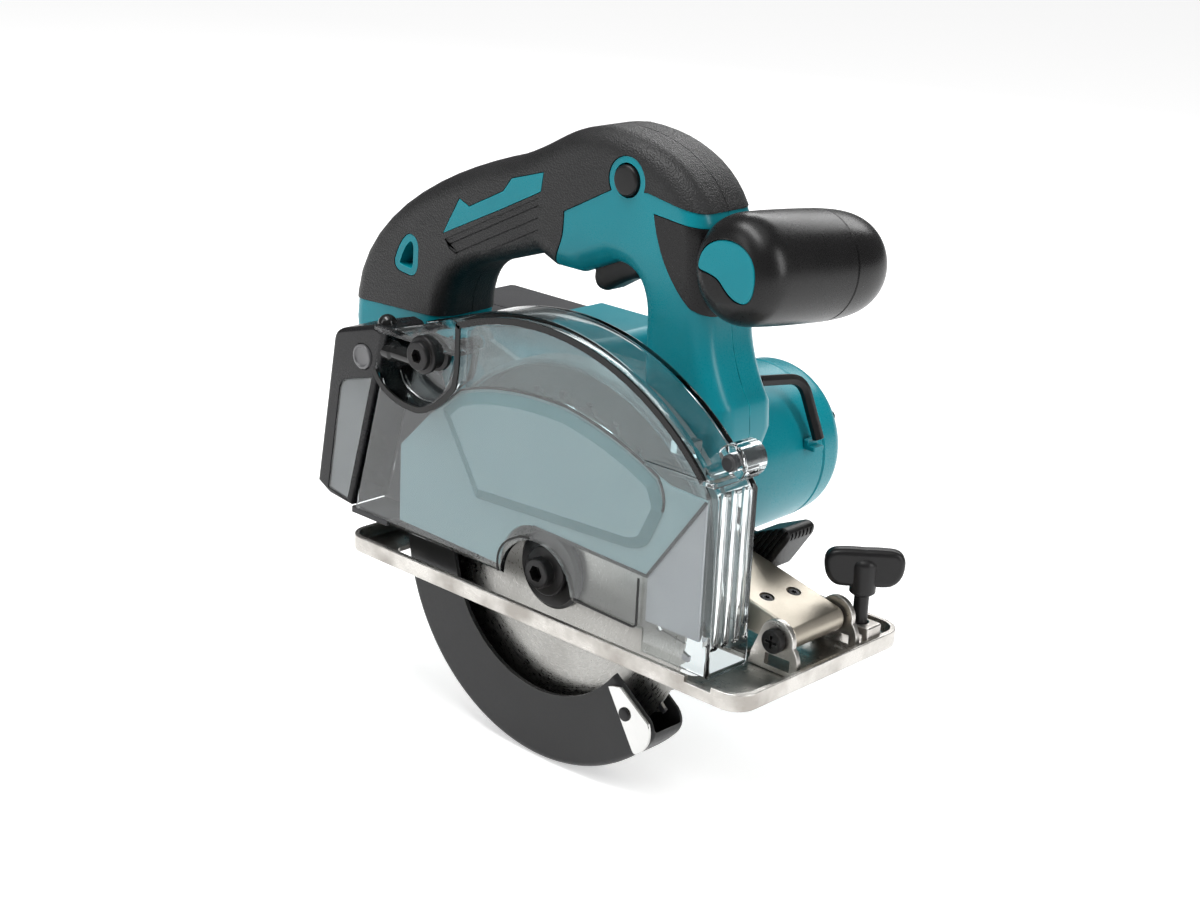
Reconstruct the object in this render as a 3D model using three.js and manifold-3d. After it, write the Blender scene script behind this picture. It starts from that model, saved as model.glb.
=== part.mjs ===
// A cordless circular saw for metal: a 150 mm blade under a clear dust box, a D-shaped
// handle over the motor and battery, and a hinged base plate that sets the cutting depth.
//
// Frame, in millimetres: the origin is on the underside of the base plate, straight below
// the blade spindle. +X points forward, along the cut. +Z points up. -Y is the blade side.
import * as THREE from 'three';
import { mergeVertices } from 'three/addons/utils/BufferGeometryUtils.js';
import Module from 'manifold-3d';

const wasm = await Module();
wasm.setup();

// ---- Driving dimensions ----------------------------------------------------------------

const GAP = 0.3; // between pieces that touch
const RUN = 0.8; // between pieces that move past each other

const BLADE_DIAMETER = 150;
const BLADE_THICKNESS = 1.6;
const BLADE_BORE = 20;
const BLADE_TEETH = 32;
const BLADE_Y = -28; // middle plane of the blade
const CUT_DEPTH = 57.5; // blade below the sole at full depth

const BASE_LENGTH = 222;
const BASE_WIDTH = 103;
const BASE_REAR_X = -105;
const BASE_SHEET = 2;
const BASE_LIP = 7.5;
const BASE_CORNER = 10;

const PIVOT_X = 103; // front hinge of the base
const PIVOT_Z = 15.8;
const PIVOT_PIN_RADIUS = 3;
const DEPTH_SWING = 22; // degrees that the base swings down at the rear

const GUARD_RIM_SPACE = 7; // from the blade's tip to the outside of the lower guard
const GUARD_WIDTH = 19;
const GUARD_WALL = 1.8;
const GUARD_BAND = 30; // radial width of the guard's cheek
const GUARD_SWING = 128; // degrees

const FLANGE_RADIUS = 17;
const SPINDLE_RADIUS = 6;
const BOLT_RADIUS = 3.7;

const DUST_FACE_Y = -46;
const DUST_BACK_Y = -21.3;
const DUST_WALL = 2.5;
const DUST_ARC_RADIUS = 118;
const DUST_ARC_X = 2;
const DUST_ARC_Z = 6;
const DUST_FRONT_X = 96;
const DUST_TILT = 0.25; // lean of the rear end, in mm of X for each mm of Z

const CASE_PLATE = 2.5; // blade case wall

const HANDLE_Y = 8; // middle plane of the handle
const HANDLE_HALF_WIDTH = 18;
const HANDLE_ROUND = 9; // rounding of the handle's long edges
const SKIN = 2; // elastomer skin
const SHELL_WALL = 2.3;

const MOTOR_RISE = 28.1; // motor shaft above the spindle
const MOTOR_RADIUS = 38;
const MOTOR_COVER_LENGTH = 17;
const MOTOR_COVER_TAPER = 3; // from the joint's radius to the end of the cover
const MOTOR_END_Y = 115;
const MOTOR_WALL = 2.5;

const FINE_MODULE = 1; // first gear stage
const MOTOR_PINION_TEETH = 9;
const MIDDLE_WHEEL_TEETH = 27;
const COARSE_MODULE = 1.25; // second gear stage
const MIDDLE_PINION_TEETH = 13;
const SPINDLE_GEAR_TEETH = 19;

const BATTERY_LENGTH = 105;
const BATTERY_WIDTH = 73;
const BATTERY_THICKNESS = 59;
const BATTERY_REAR_X = -150;
const BATTERY_LOW_Z = 15.5;

const KNOB_RADIUS = 21.5;
const KNOB_LENGTH = 76;
const KNOB_CENTRE = [72, 20, 150];
const KNOB_TURN = [-5, 0, -4]; // degrees about X, Y and Z

// ---- Places that follow from them ------------------------------------------------------

const SPINDLE_Z = BLADE_DIAMETER / 2 - CUT_DEPTH;
const MOTOR_Z = SPINDLE_Z + MOTOR_RISE;
const GUARD_RADIUS = BLADE_DIAMETER / 2 + GUARD_RIM_SPACE;
const GUARD_NEAR_Y = BLADE_Y - GUARD_WIDTH / 2 + 0.5;
const GUARD_FAR_Y = GUARD_NEAR_Y + GUARD_WIDTH;
const HANDLE_NEAR_Y = HANDLE_Y - HANDLE_HALF_WIDTH;
const HANDLE_FAR_Y = HANDLE_Y + HANDLE_HALF_WIDTH;
const CASE_FAR_Y = HANDLE_NEAR_Y - GAP;
const CASE_NEAR_Y = CASE_FAR_Y - CASE_PLATE;
const BASE_FRONT_X = BASE_REAR_X + BASE_LENGTH;
const BLADE_NEAR_Y = BLADE_Y - BLADE_THICKNESS / 2;
const BLADE_FAR_Y = BLADE_Y + BLADE_THICKNESS / 2;

const DEG = Math.PI / 180;

// ---- Finishes --------------------------------------------------------------------------

const TEAL = [0x0b8291, 0.35, 0];
const BLACK_RUBBER = [0x1d1e20, 0.75, 0];
const BLACK_PLASTIC = [0x17181a, 0.45, 0];
const DARK_PLASTIC = [0x2b2d30, 0.5, 0];
const GREY_PLASTIC = [0x55585b, 0.5, 0];
const SMOKED_PLASTIC = [0x6f8f94, 0.1, 0];
const BRIGHT_STEEL = [0xb9bbb8, 0.3, 1];
const BLADE_STEEL = [0x9a9a97, 0.38, 1];
const BLACK_STEEL = [0x1a1a1b, 0.4, 0.6];
const SATIN_ALLOY = [0xa9a595, 0.45, 0.9];
const CASE_ALLOY = [0x96a9ab, 0.45, 0.5];
const COPPER = [0x9a5a32, 0.4, 0.9];

// ---- Small tools for solids ------------------------------------------------------------

const saw = new THREE.Group();

/** A closed three.js geometry as a solid that can be joined and cut. */
function solid(geometry) {
  const bare = geometry.clone();
  bare.deleteAttribute('normal');
  bare.deleteAttribute('uv');
  const merged = mergeVertices(bare, 1e-4);
  const corners = merged.index.array;
  const kept = [];
  for (let i = 0; i < corners.length; i += 3) {
    const [a, b, c] = [corners[i], corners[i + 1], corners[i + 2]];
    if (a !== b && b !== c && c !== a) kept.push(a, b, c);
  }
  const vertProperties = new Float32Array(merged.attributes.position.array);
  const triVerts = new Uint32Array(kept);
  return new wasm.Manifold(new wasm.Mesh({ numProp: 3, vertProperties, triVerts }));
}

/** Adds a solid to a group as a named piece with its own material. */
function piece(group, name, body, [color, roughness, metalness]) {
  const { vertProperties, triVerts } = body.getMesh();
  const geometry = new THREE.BufferGeometry();
  geometry.setAttribute('position', new THREE.BufferAttribute(vertProperties, 3));
  geometry.setIndex(new THREE.BufferAttribute(triVerts, 1));
  const material = new THREE.MeshStandardMaterial({ color, roughness, metalness });
  const mesh = new THREE.Mesh(geometry, material);
  mesh.name = name;
  group.add(mesh);
}

/** A nested group with its own origin. */
function groupAt(x, y, z) {
  const group = new THREE.Group();
  group.position.set(x, y, z);
  saw.add(group);
  return group;
}

function box(x0, x1, y0, y1, z0, z1) {
  const geometry = new THREE.BoxGeometry(x1 - x0, y1 - y0, z1 - z0);
  geometry.translate((x0 + x1) / 2, (y0 + y1) / 2, (z0 + z1) / 2);
  return solid(geometry);
}

/** A round rod across the saw, from y0 to y1. */
function rod(radius, y0, y1, x = 0, z = 0, sides = 20) {
  const geometry = new THREE.CylinderGeometry(radius, radius, y1 - y0, sides);
  geometry.translate(x, (y0 + y1) / 2, z);
  return solid(geometry);
}

/** A ring across the saw, from y0 to y1. */
function ring(outer, inner, y0, y1, x = 0, z = 0, sides = 20) {
  return rod(outer, y0, y1, x, z, sides).subtract(rod(inner, y0 - 1, y1 + 1, x, z, sides));
}

/** A round upright rod, from z0 to z1. */
function post(radius, z0, z1, x, y, sides = 16) {
  const geometry = new THREE.CylinderGeometry(radius, radius, z1 - z0, sides);
  geometry.rotateX(Math.PI / 2);
  geometry.translate(x, y, (z0 + z1) / 2);
  return solid(geometry);
}

/** A solid turned about the Y axis, from [radius, y] pairs that start and end on the axis. */
function turned(profile, sides = 28) {
  const points = profile.map(([radius, y]) => new THREE.Vector2(radius, y));
  return solid(new THREE.LatheGeometry(points, sides));
}

const outline = (points) => new THREE.Shape(points.map(([x, z]) => new THREE.Vector2(x, z)));

/** A side-view outline in X and Z, given a thickness across the saw. */
function sidePlate(shape, y0, y1, curveSegments = 12) {
  const settings = { depth: y1 - y0, bevelEnabled: false, curveSegments };
  const geometry = new THREE.ExtrudeGeometry(shape, settings);
  geometry.rotateX(Math.PI / 2);
  geometry.translate(0, y1, 0);
  return solid(geometry);
}

/** A side-view outline with rounded long edges, drawn in everywhere by `inset`. */
function roundedSidePlate(shape, y0, y1, round, inset = 0, curveSegments = 12) {
  const edge = Math.max(round - inset, 0.5);
  const geometry = new THREE.ExtrudeGeometry(shape, {
    depth: y1 - y0 - 2 * (inset + edge),
    bevelEnabled: true,
    bevelThickness: edge,
    bevelSize: edge,
    bevelOffset: -(edge + inset),
    bevelSegments: 2,
    curveSegments,
  });
  geometry.rotateX(Math.PI / 2);
  geometry.translate(0, y1 - inset - edge, 0);
  return solid(geometry);
}

/** A plan-view outline in X and Y, given a thickness from z0 to z1. */
function planPlate(shape, z0, z1, curveSegments = 6) {
  const settings = { depth: z1 - z0, bevelEnabled: false, curveSegments };
  const geometry = new THREE.ExtrudeGeometry(shape, settings);
  geometry.translate(0, 0, z0);
  return solid(geometry);
}

function roundedRectangle(x0, x1, y0, y1, radius) {
  const shape = new THREE.Shape();
  shape.moveTo(x0 + radius, y0);
  shape.absarc(x1 - radius, y0 + radius, radius, -Math.PI / 2, 0);
  shape.absarc(x1 - radius, y1 - radius, radius, 0, Math.PI / 2);
  shape.absarc(x0 + radius, y1 - radius, radius, Math.PI / 2, Math.PI);
  shape.absarc(x0 + radius, y0 + radius, radius, Math.PI, 1.5 * Math.PI);
  return shape;
}

/** A flat band between two radii, from one angle to another, in degrees. */
function band(inner, outer, from, to, x = 0, z = 0) {
  const shape = new THREE.Shape();
  shape.absarc(x, z, outer, from * DEG, to * DEG, false);
  shape.absarc(x, z, inner, to * DEG, from * DEG, true);
  shape.closePath();
  return shape;
}

/** A gear's outline, with straight-sided teeth that leave backlash. */
function gearOutline(teeth, module) {
  const pitchRadius = (teeth * module) / 2;
  const root = pitchRadius - 1.2 * module;
  const tip = pitchRadius + 0.85 * module;
  const pitch = (2 * Math.PI) / teeth;
  const points = [];
  for (let i = 0; i < teeth; i += 1) {
    for (const [radius, share] of [[root, -0.3], [tip, -0.11], [tip, 0.11], [root, 0.3]]) {
      const angle = (i + share) * pitch;
      points.push([radius * Math.cos(angle), radius * Math.sin(angle)]);
    }
  }
  return outline(points);
}

/** A gear across the saw, turned by `phase` degrees. */
function gear(teeth, module, y0, y1, bore, phase) {
  const body = sidePlate(gearOutline(teeth, module), y0, y1);
  const bored = bore > 0 ? body.subtract(rod(bore, y0 - 1, y1 + 1, 0, 0, 16)) : body;
  return bored.rotate([0, -phase, 0]);
}

// ---- Blade and spindle: everything that turns on the spindle's axis ---------------------

const SPIGOT_RADIUS = BLADE_BORE / 2 - GAP;
const INNER_FLANGE_Y = BLADE_FAR_Y + GAP;
const OUTER_FLANGE_Y = BLADE_NEAR_Y - GAP;
const FLANGE_THICKNESS = 4.2;
const BOSS_RADIUS = FLANGE_RADIUS - 0.5;
const BOSS_NEAR_Y = INNER_FLANGE_Y + FLANGE_THICKNESS + RUN;
const BEARING_RADIUS = 13;
const SPINDLE_GEAR_Y = [-8, -2.5];
const WHEEL_Y = [0.6, 6];
const GEAR_CASE_FAR_Y = 10;

const spindleGroup = groupAt(0, 0, SPINDLE_Z);

const toothStep = 360 / BLADE_TEETH;
const bladePoints = [];
for (let i = 0; i < BLADE_TEETH; i += 1) {
  for (const [radius, share] of [[BLADE_DIAMETER / 2 - 3.5, 0], [BLADE_DIAMETER / 2, 0.3],
    [BLADE_DIAMETER / 2 - 0.5, 0.75]]) {
    const angle = -(i + share) * toothStep * DEG;
    bladePoints.push([radius * Math.cos(angle), radius * Math.sin(angle)]);
  }
}
const bladeDisc = sidePlate(outline(bladePoints.reverse()), BLADE_NEAR_Y, BLADE_FAR_Y);
const bladeBore = rod(BLADE_BORE / 2, BLADE_NEAR_Y - 1, BLADE_FAR_Y + 1);
piece(spindleGroup, 'blade', bladeDisc.subtract(bladeBore), BLADE_STEEL);

const spindleEndY = BLADE_Y - 0.3;
const spindleBody = rod(SPINDLE_RADIUS, spindleEndY, WHEEL_Y[0] - 2.2)
  .add(rod(4, WHEEL_Y[0] - 3, GEAR_CASE_FAR_Y - GAP));
piece(spindleGroup, 'spindle', spindleBody.subtract(rod(BOLT_RADIUS + GAP, spindleEndY - 1, -14, 0, 0,
  16)), BRIGHT_STEEL);

const innerFlange = rod(FLANGE_RADIUS, INNER_FLANGE_Y, INNER_FLANGE_Y + FLANGE_THICKNESS)
  .add(rod(SPIGOT_RADIUS, BLADE_NEAR_Y + 0.2, INNER_FLANGE_Y + 1))
  .subtract(rod(SPINDLE_RADIUS + GAP, BLADE_NEAR_Y - 1, BOSS_NEAR_Y));
piece(spindleGroup, 'inner_flange', innerFlange, BLACK_STEEL);

const boltFaceY = OUTER_FLANGE_Y - FLANGE_THICKNESS + 0.7;
piece(spindleGroup, 'outer_flange', ring(FLANGE_RADIUS, BOLT_RADIUS + GAP, boltFaceY, OUTER_FLANGE_Y),
  BLACK_STEEL);

const boltHead = turned([[0, -15], [BOLT_RADIUS, -15], [BOLT_RADIUS, boltFaceY - GAP],
  [10.5, boltFaceY - GAP],
  [10.5, boltFaceY - 2.2], [6.3, boltFaceY - 3], [6.3, boltFaceY - 8], [0, boltFaceY - 8]].reverse(), 24);
const boltSocket = rod(3.4, boltFaceY - 9, boltFaceY - 3.5, 0, 0, 6);
piece(spindleGroup, 'blade_bolt', boltHead.subtract(boltSocket), BLACK_STEEL);

piece(spindleGroup, 'spindle_gear',
  gear(SPINDLE_GEAR_TEETH, COARSE_MODULE, ...SPINDLE_GEAR_Y, SPINDLE_RADIUS + GAP, 0), BRIGHT_STEEL);
piece(spindleGroup, 'spindle_bearing', ring(BEARING_RADIUS, SPINDLE_RADIUS + GAP, -21, -15.5), BRIGHT_STEEL);

// ---- Gear train: the motor pinion drives the middle shaft, which drives the spindle ------

const fineDistance = ((MOTOR_PINION_TEETH + MIDDLE_WHEEL_TEETH) * FINE_MODULE) / 2;
const coarseDistance = ((MIDDLE_PINION_TEETH + SPINDLE_GEAR_TEETH) * COARSE_MODULE) / 2;
const middleRise = (coarseDistance ** 2 - fineDistance ** 2 + MOTOR_RISE ** 2) / (2 * MOTOR_RISE);
const MIDDLE_X = -Math.sqrt(coarseDistance ** 2 - middleRise ** 2);
const MIDDLE_Z = SPINDLE_Z + middleRise;

/** The phase that puts a tooth gap of a gear, in degrees, in the direction `toward`. */
const gapToward = (teeth, toward) => toward + 180 / teeth;

const middleGroup = groupAt(MIDDLE_X, 0, MIDDLE_Z);
const towardSpindle = Math.atan2(-middleRise, -MIDDLE_X) / DEG;
const towardMotor = Math.atan2(MOTOR_RISE - middleRise, -MIDDLE_X) / DEG;
// The spindle gear has a tooth at angle 0; the middle pinion is turned so that the two mesh.
const spindleToothOffset = (towardSpindle + 180) / (360 / SPINDLE_GEAR_TEETH);
const middlePinionPhase = gapToward(MIDDLE_PINION_TEETH, towardSpindle)
  + (spindleToothOffset - Math.round(spindleToothOffset)) * (360 / MIDDLE_PINION_TEETH);
const MIDDLE_SHAFT_RADIUS = 3.5;
piece(middleGroup, 'middle_pinion',
  gear(MIDDLE_PINION_TEETH, COARSE_MODULE, ...SPINDLE_GEAR_Y, MIDDLE_SHAFT_RADIUS + GAP,
    middlePinionPhase), BRIGHT_STEEL);
const wheelPhase = towardMotor;
piece(middleGroup, 'middle_wheel',
  gear(MIDDLE_WHEEL_TEETH, FINE_MODULE, ...WHEEL_Y, MIDDLE_SHAFT_RADIUS + GAP, wheelPhase), BRIGHT_STEEL);
piece(middleGroup, 'middle_shaft', rod(MIDDLE_SHAFT_RADIUS, -9.2, GEAR_CASE_FAR_Y - GAP, 0, 0, 16),
  BRIGHT_STEEL);

const motorGroup = groupAt(0, 0, MOTOR_Z);
const pinionPhase = gapToward(MOTOR_PINION_TEETH, towardMotor + 180);
piece(motorGroup, 'motor_pinion', gear(MOTOR_PINION_TEETH, FINE_MODULE, ...WHEEL_Y, 0, pinionPhase),
  BRIGHT_STEEL);

// ---- Gear case: two alloy shells that hold the gears ------------------------------------

const GEAR_CASE_REAR_X = MIDDLE_X - (MIDDLE_WHEEL_TEETH * FINE_MODULE) / 2 - 5.5;
const GEAR_CASE_FRONT_X = FLANGE_RADIUS + 5;
const GEAR_CASE_LOW_Z = BASE_SHEET + 1;
const GEAR_CASE_TOP_Z = MOTOR_Z + 14;
const GEAR_WALL = 2.5;
const CASE_SPLIT_Y = 3;
const gearCaseShape = roundedRectangle(GEAR_CASE_REAR_X, GEAR_CASE_FRONT_X, GEAR_CASE_LOW_Z,
  GEAR_CASE_TOP_Z, 9);
const gearSpaceShape = roundedRectangle(GEAR_CASE_REAR_X + GEAR_WALL, GEAR_CASE_FRONT_X - GEAR_WALL,
  GEAR_CASE_LOW_Z + 0.5, GEAR_CASE_TOP_Z - GEAR_WALL, 7);
const gearBoss = rod(BOSS_RADIUS, BOSS_NEAR_Y, HANDLE_NEAR_Y + 1, 0, SPINDLE_Z, 32);
const gearCase = sidePlate(gearCaseShape, HANDLE_NEAR_Y, CASE_SPLIT_Y, 4)
  .add(gearBoss)
  .subtract(sidePlate(gearSpaceShape, SPINDLE_GEAR_Y[0] - 1.5 + GAP, CASE_SPLIT_Y + 1, 4))
  .subtract(rod(BEARING_RADIUS + GAP, BOSS_NEAR_Y - 1, -15.2, 0, SPINDLE_Z))
  .subtract(rod(SPINDLE_RADIUS + RUN, BOSS_NEAR_Y - 1, 0, 0, SPINDLE_Z));
piece(saw, 'gear_case', gearCase, CASE_ALLOY);
const gearCaseCover = sidePlate(gearCaseShape, CASE_SPLIT_Y + GAP, GEAR_CASE_FAR_Y, 4)
  .subtract(sidePlate(gearSpaceShape, CASE_SPLIT_Y - 1, WHEEL_Y[1] + RUN, 4))
  .subtract(rod(4 + GAP, CASE_SPLIT_Y, GEAR_CASE_FAR_Y + 1, 0, SPINDLE_Z, 16))
  .subtract(rod(MIDDLE_SHAFT_RADIUS + GAP, CASE_SPLIT_Y, GEAR_CASE_FAR_Y + 1, MIDDLE_X, MIDDLE_Z, 16))
  .subtract(rod(7, CASE_SPLIT_Y, GEAR_CASE_FAR_Y + 1, 0, MOTOR_Z, 16));
piece(saw, 'gear_case_cover', gearCaseCover, CASE_ALLOY);

// ---- Motor: a tubular housing across the saw, closed by an end cover ---------------------

const MOTOR_NEAR_Y = GEAR_CASE_FAR_Y + RUN;
const MOTOR_JOINT_Y = MOTOR_END_Y - MOTOR_COVER_LENGTH;
const MOTOR_JOINT_RADIUS = MOTOR_RADIUS - 2;
const MOTOR_END_RADIUS = MOTOR_JOINT_RADIUS - MOTOR_COVER_TAPER;
const MOTOR_TAPER_LENGTH = 38; // the part of the tube that narrows to the joint
const motorBoreRadius = MOTOR_JOINT_RADIUS - MOTOR_WALL;
const motorOuter = turned([
  [0, MOTOR_NEAR_Y],
  [MOTOR_RADIUS, MOTOR_NEAR_Y],
  [MOTOR_RADIUS, MOTOR_JOINT_Y - MOTOR_TAPER_LENGTH],
  [MOTOR_JOINT_RADIUS, MOTOR_JOINT_Y],
  [0, MOTOR_JOINT_Y],
]);
const clipX = MOTOR_JOINT_RADIUS - 1;
const clipY = MOTOR_JOINT_Y - 14;
const clipSpace = box(clipX + 2.6, clipX + 7, clipY - 1, clipY + 8, 9.5, 13);
const clip = box(clipX, clipX + 6, clipY, clipY + 7, 8, 12).subtract(clipSpace);
const motorHousing = motorOuter
  .add(clip)
  .subtract(rod(motorBoreRadius, MOTOR_NEAR_Y + 2, MOTOR_END_Y, 0, 0, 32))
  .subtract(rod(12, MOTOR_NEAR_Y - 1, MOTOR_NEAR_Y + 3));
piece(motorGroup, 'motor_housing', motorHousing, TEAL);
const endCover = turned([
  [0, MOTOR_JOINT_Y + GAP],
  [MOTOR_JOINT_RADIUS, MOTOR_JOINT_Y + GAP],
  [MOTOR_END_RADIUS + 2, MOTOR_END_Y - 6],
  [MOTOR_END_RADIUS, MOTOR_END_Y - 2],
  [MOTOR_END_RADIUS - 3, MOTOR_END_Y],
  [0, MOTOR_END_Y],
]);
const endCoverSpace = rod(MOTOR_END_RADIUS - 1.5, MOTOR_JOINT_Y - 1, MOTOR_END_Y - 4);
piece(motorGroup, 'motor_end_cover', endCover.subtract(endCoverSpace), TEAL);

const STATOR_LENGTH = 38;
const ROTOR_RADIUS = 18;
const SHAFT_RADIUS = 4;
const FAN_CLEARANCE = 4.5; // round the fan, inside the tube
const FAN_VANES = 7;
const statorFarY = MOTOR_JOINT_Y - 18;
const statorNearY = statorFarY - STATOR_LENGTH;
const stator = ring(motorBoreRadius - GAP, ROTOR_RADIUS + 1, statorNearY, statorFarY);
piece(motorGroup, 'stator', stator, COPPER);
const rotor = rod(SHAFT_RADIUS, WHEEL_Y[1] + GAP, MOTOR_END_Y - 6, 0, 0, 16)
  .add(rod(ROTOR_RADIUS, statorNearY + 2, statorFarY - 2));
piece(motorGroup, 'rotor', rotor, BRIGHT_STEEL);
const motorBearing = ring(11.5, SHAFT_RADIUS + GAP, MOTOR_NEAR_Y + 0.4, MOTOR_NEAR_Y + 6, 0, 0, 16);
piece(motorGroup, 'motor_bearing', motorBearing, BRIGHT_STEEL);
const fanY = MOTOR_JOINT_Y - 13;
const fanRadius = motorBoreRadius - FAN_CLEARANCE;
let fan = rod(fanRadius, fanY, fanY + 1.5).add(rod(8, fanY, fanY + 10, 0, 0, 16));
for (let i = 0; i < FAN_VANES; i += 1) {
  const vane = box(7, fanRadius - 1, fanY + 0.8, fanY + 9.6, -0.8, 0.8);
  fan = fan.add(vane.rotate([0, (i * 360) / FAN_VANES, 0]));
}
piece(motorGroup, 'fan', fan.subtract(rod(SHAFT_RADIUS + GAP, fanY - 1, fanY + 11, 0, 0, 16)), BLACK_PLASTIC);

// ---- Handle and housing: two clamshell halves with elastomer skins -----------------------

const HAND_GAP_LOW_Z = 96;
const housingShape = new THREE.Shape();
housingShape.moveTo(-138, 22);
housingShape.lineTo(-118, 22);
housingShape.lineTo(-114, 9.5);
housingShape.lineTo(-92, 9.5);
housingShape.lineTo(-88, 22);
housingShape.lineTo(-42, 22);
housingShape.lineTo(-38, MOTOR_Z);
housingShape.lineTo(38, MOTOR_Z);
housingShape.lineTo(50, 52);
housingShape.lineTo(60, 66);
housingShape.lineTo(66, 84);
housingShape.lineTo(65, 95);
housingShape.quadraticCurveTo(54, 110, 53, 130);
housingShape.lineTo(51, 160);
housingShape.bezierCurveTo(46, 182, 24, 194, -4, 194);
housingShape.bezierCurveTo(-26, 192, -30, 184, -52, 175.5);
housingShape.bezierCurveTo(-84, 166, -146, 142, -152, 99);
housingShape.lineTo(-153, 87);
housingShape.lineTo(-146, 30);
const handGap = new THREE.Path();
handGap.moveTo(-92, HAND_GAP_LOW_Z);
handGap.bezierCurveTo(-92, 122, -78, 124, -60, 129.5);
handGap.lineTo(-38, 137);
handGap.lineTo(-28, 133);
handGap.lineTo(-16, 133);
handGap.lineTo(2, 141);
handGap.quadraticCurveTo(19, 142, 20, 124);
handGap.lineTo(21, HAND_GAP_LOW_Z);
housingShape.holes.push(handGap);

const outerForm = roundedSidePlate(housingShape, HANDLE_NEAR_Y, HANDLE_FAR_Y, HANDLE_ROUND, 0, 5);
const skinSeat = roundedSidePlate(housingShape, HANDLE_NEAR_Y, HANDLE_FAR_Y, HANDLE_ROUND, SKIN + GAP, 5);
const skinInside = roundedSidePlate(housingShape, HANDLE_NEAR_Y, HANDLE_FAR_Y, HANDLE_ROUND, SKIN, 5);
const hollow = roundedSidePlate(housingShape, HANDLE_NEAR_Y, HANDLE_FAR_Y, HANDLE_ROUND,
  SKIN + GAP + SHELL_WALL, 5);

// The grip skin covers the handle from its rear root to the band above the trigger.
const gripArea = outline([[-170, 95], [-60, 100], [-33, 128], [-22, 150], [-22, 158], [3, 171], [22, 173],
  [56, 167],
  [70, 210], [-170, 210]]);
// The pillar skin wraps the front of the pillar, under the band.
const pillarArea = outline([[34, 164], [70, 161], [70, 124], [50, 127], [42, 136]]);
const BUTTON_X = 11;
const BUTTON_Z = 176;
const BUTTON_RADIUS = 6.2;
const BUTTON_TRAVEL = 3;
const buttonRing = rod(BUTTON_RADIUS + 3, HANDLE_NEAR_Y - 5, HANDLE_FAR_Y + 5, BUTTON_X, BUTTON_Z, 20);
const buttonHole = rod(BUTTON_RADIUS + 0.5, HANDLE_NEAR_Y - 5, HANDLE_FAR_Y + 5, BUTTON_X, BUTTON_Z, 20);
/** A side-view area as a space through the whole handle, grown by `margin` all round. */
const throughHandle = (area, margin) => roundedSidePlate(area, HANDLE_NEAR_Y - 5, HANDLE_FAR_Y + 5, 1,
  -margin, 7);
const gripSpace = throughHandle(gripArea, 0).subtract(buttonRing);
const gripRecess = throughHandle(gripArea, GAP).subtract(buttonRing).subtract(skinSeat);
const pillarSpace = throughHandle(pillarArea, 0);
const pillarRecess = throughHandle(pillarArea, GAP).subtract(skinSeat);
const skinLayer = outerForm.subtract(skinInside);

const TRIGGER_WIDTH = 14;
const TRIGGER_TRAVEL = 6;
const triggerSlot = box(-16.5, 15, HANDLE_Y - TRIGGER_WIDTH / 2 - RUN, HANDLE_Y + TRIGGER_WIDTH / 2 + RUN,
  122, 158);
const gearCaseSpace = sidePlate(roundedRectangle(GEAR_CASE_REAR_X - 0.4, GEAR_CASE_FRONT_X + 0.4, 0,
  GEAR_CASE_TOP_Z + 0.4, 9),
  HANDLE_NEAR_Y - 3, MOTOR_NEAR_Y + 1, 4);
const motorSpace = rod(MOTOR_RADIUS + 0.4, GEAR_CASE_FAR_Y - 1, HANDLE_FAR_Y + 5, 0, MOTOR_Z, 32);
const DEPTH_BOLT_RADIUS = 1.8;
const DEPTH_RADIUS = 206; // from the front pivot to the clamp bolt
const depthBoltX = PIVOT_X - DEPTH_RADIUS;
const STRAP_HOLE = [-114, 120];
const STRAP_HOLE_RADIUS = 4.5;
const strapHole = rod(STRAP_HOLE_RADIUS, HANDLE_NEAR_Y - 1, HANDLE_FAR_Y + 1, ...STRAP_HOLE, 12);
const knobSeat = rod(KNOB_RADIUS + 1.2, -60, 60, 0, 0, 32).rotate(KNOB_TURN).translate(KNOB_CENTRE);
const housing = outerForm
  .subtract(gripRecess)
  .subtract(pillarRecess)
  .subtract(hollow)
  .subtract(buttonHole)
  .subtract(triggerSlot)
  .subtract(strapHole)
  .subtract(knobSeat)
  .subtract(gearCaseSpace)
  .subtract(motorSpace)
  .subtract(rod(DEPTH_BOLT_RADIUS + GAP, HANDLE_NEAR_Y - 1, HANDLE_FAR_Y + 1, depthBoltX, PIVOT_Z, 12));
const leftOf = (y) => box(-200, 120, HANDLE_NEAR_Y - 6, y, -10, 230);
const rightOf = (y) => box(-200, 120, y, HANDLE_FAR_Y + 6, -10, 230);
const leftHalf = leftOf(HANDLE_Y - GAP / 2);
const rightHalf = rightOf(HANDLE_Y + GAP / 2);
piece(saw, 'housing_left', housing.intersect(leftHalf), TEAL);
piece(saw, 'housing_right', housing.intersect(rightHalf), TEAL);
const gripSkin = skinLayer.intersect(gripSpace).subtract(triggerSlot).subtract(strapHole);
piece(saw, 'grip_skin_left', gripSkin.intersect(leftHalf), BLACK_RUBBER);
piece(saw, 'grip_skin_right', gripSkin.intersect(rightHalf), BLACK_RUBBER);
piece(saw, 'pillar_skin', skinLayer.intersect(pillarSpace).subtract(knobSeat), BLACK_RUBBER);

// ---- Inside the handle: switch, trigger, lock-off button, controller ---------------------

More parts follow.
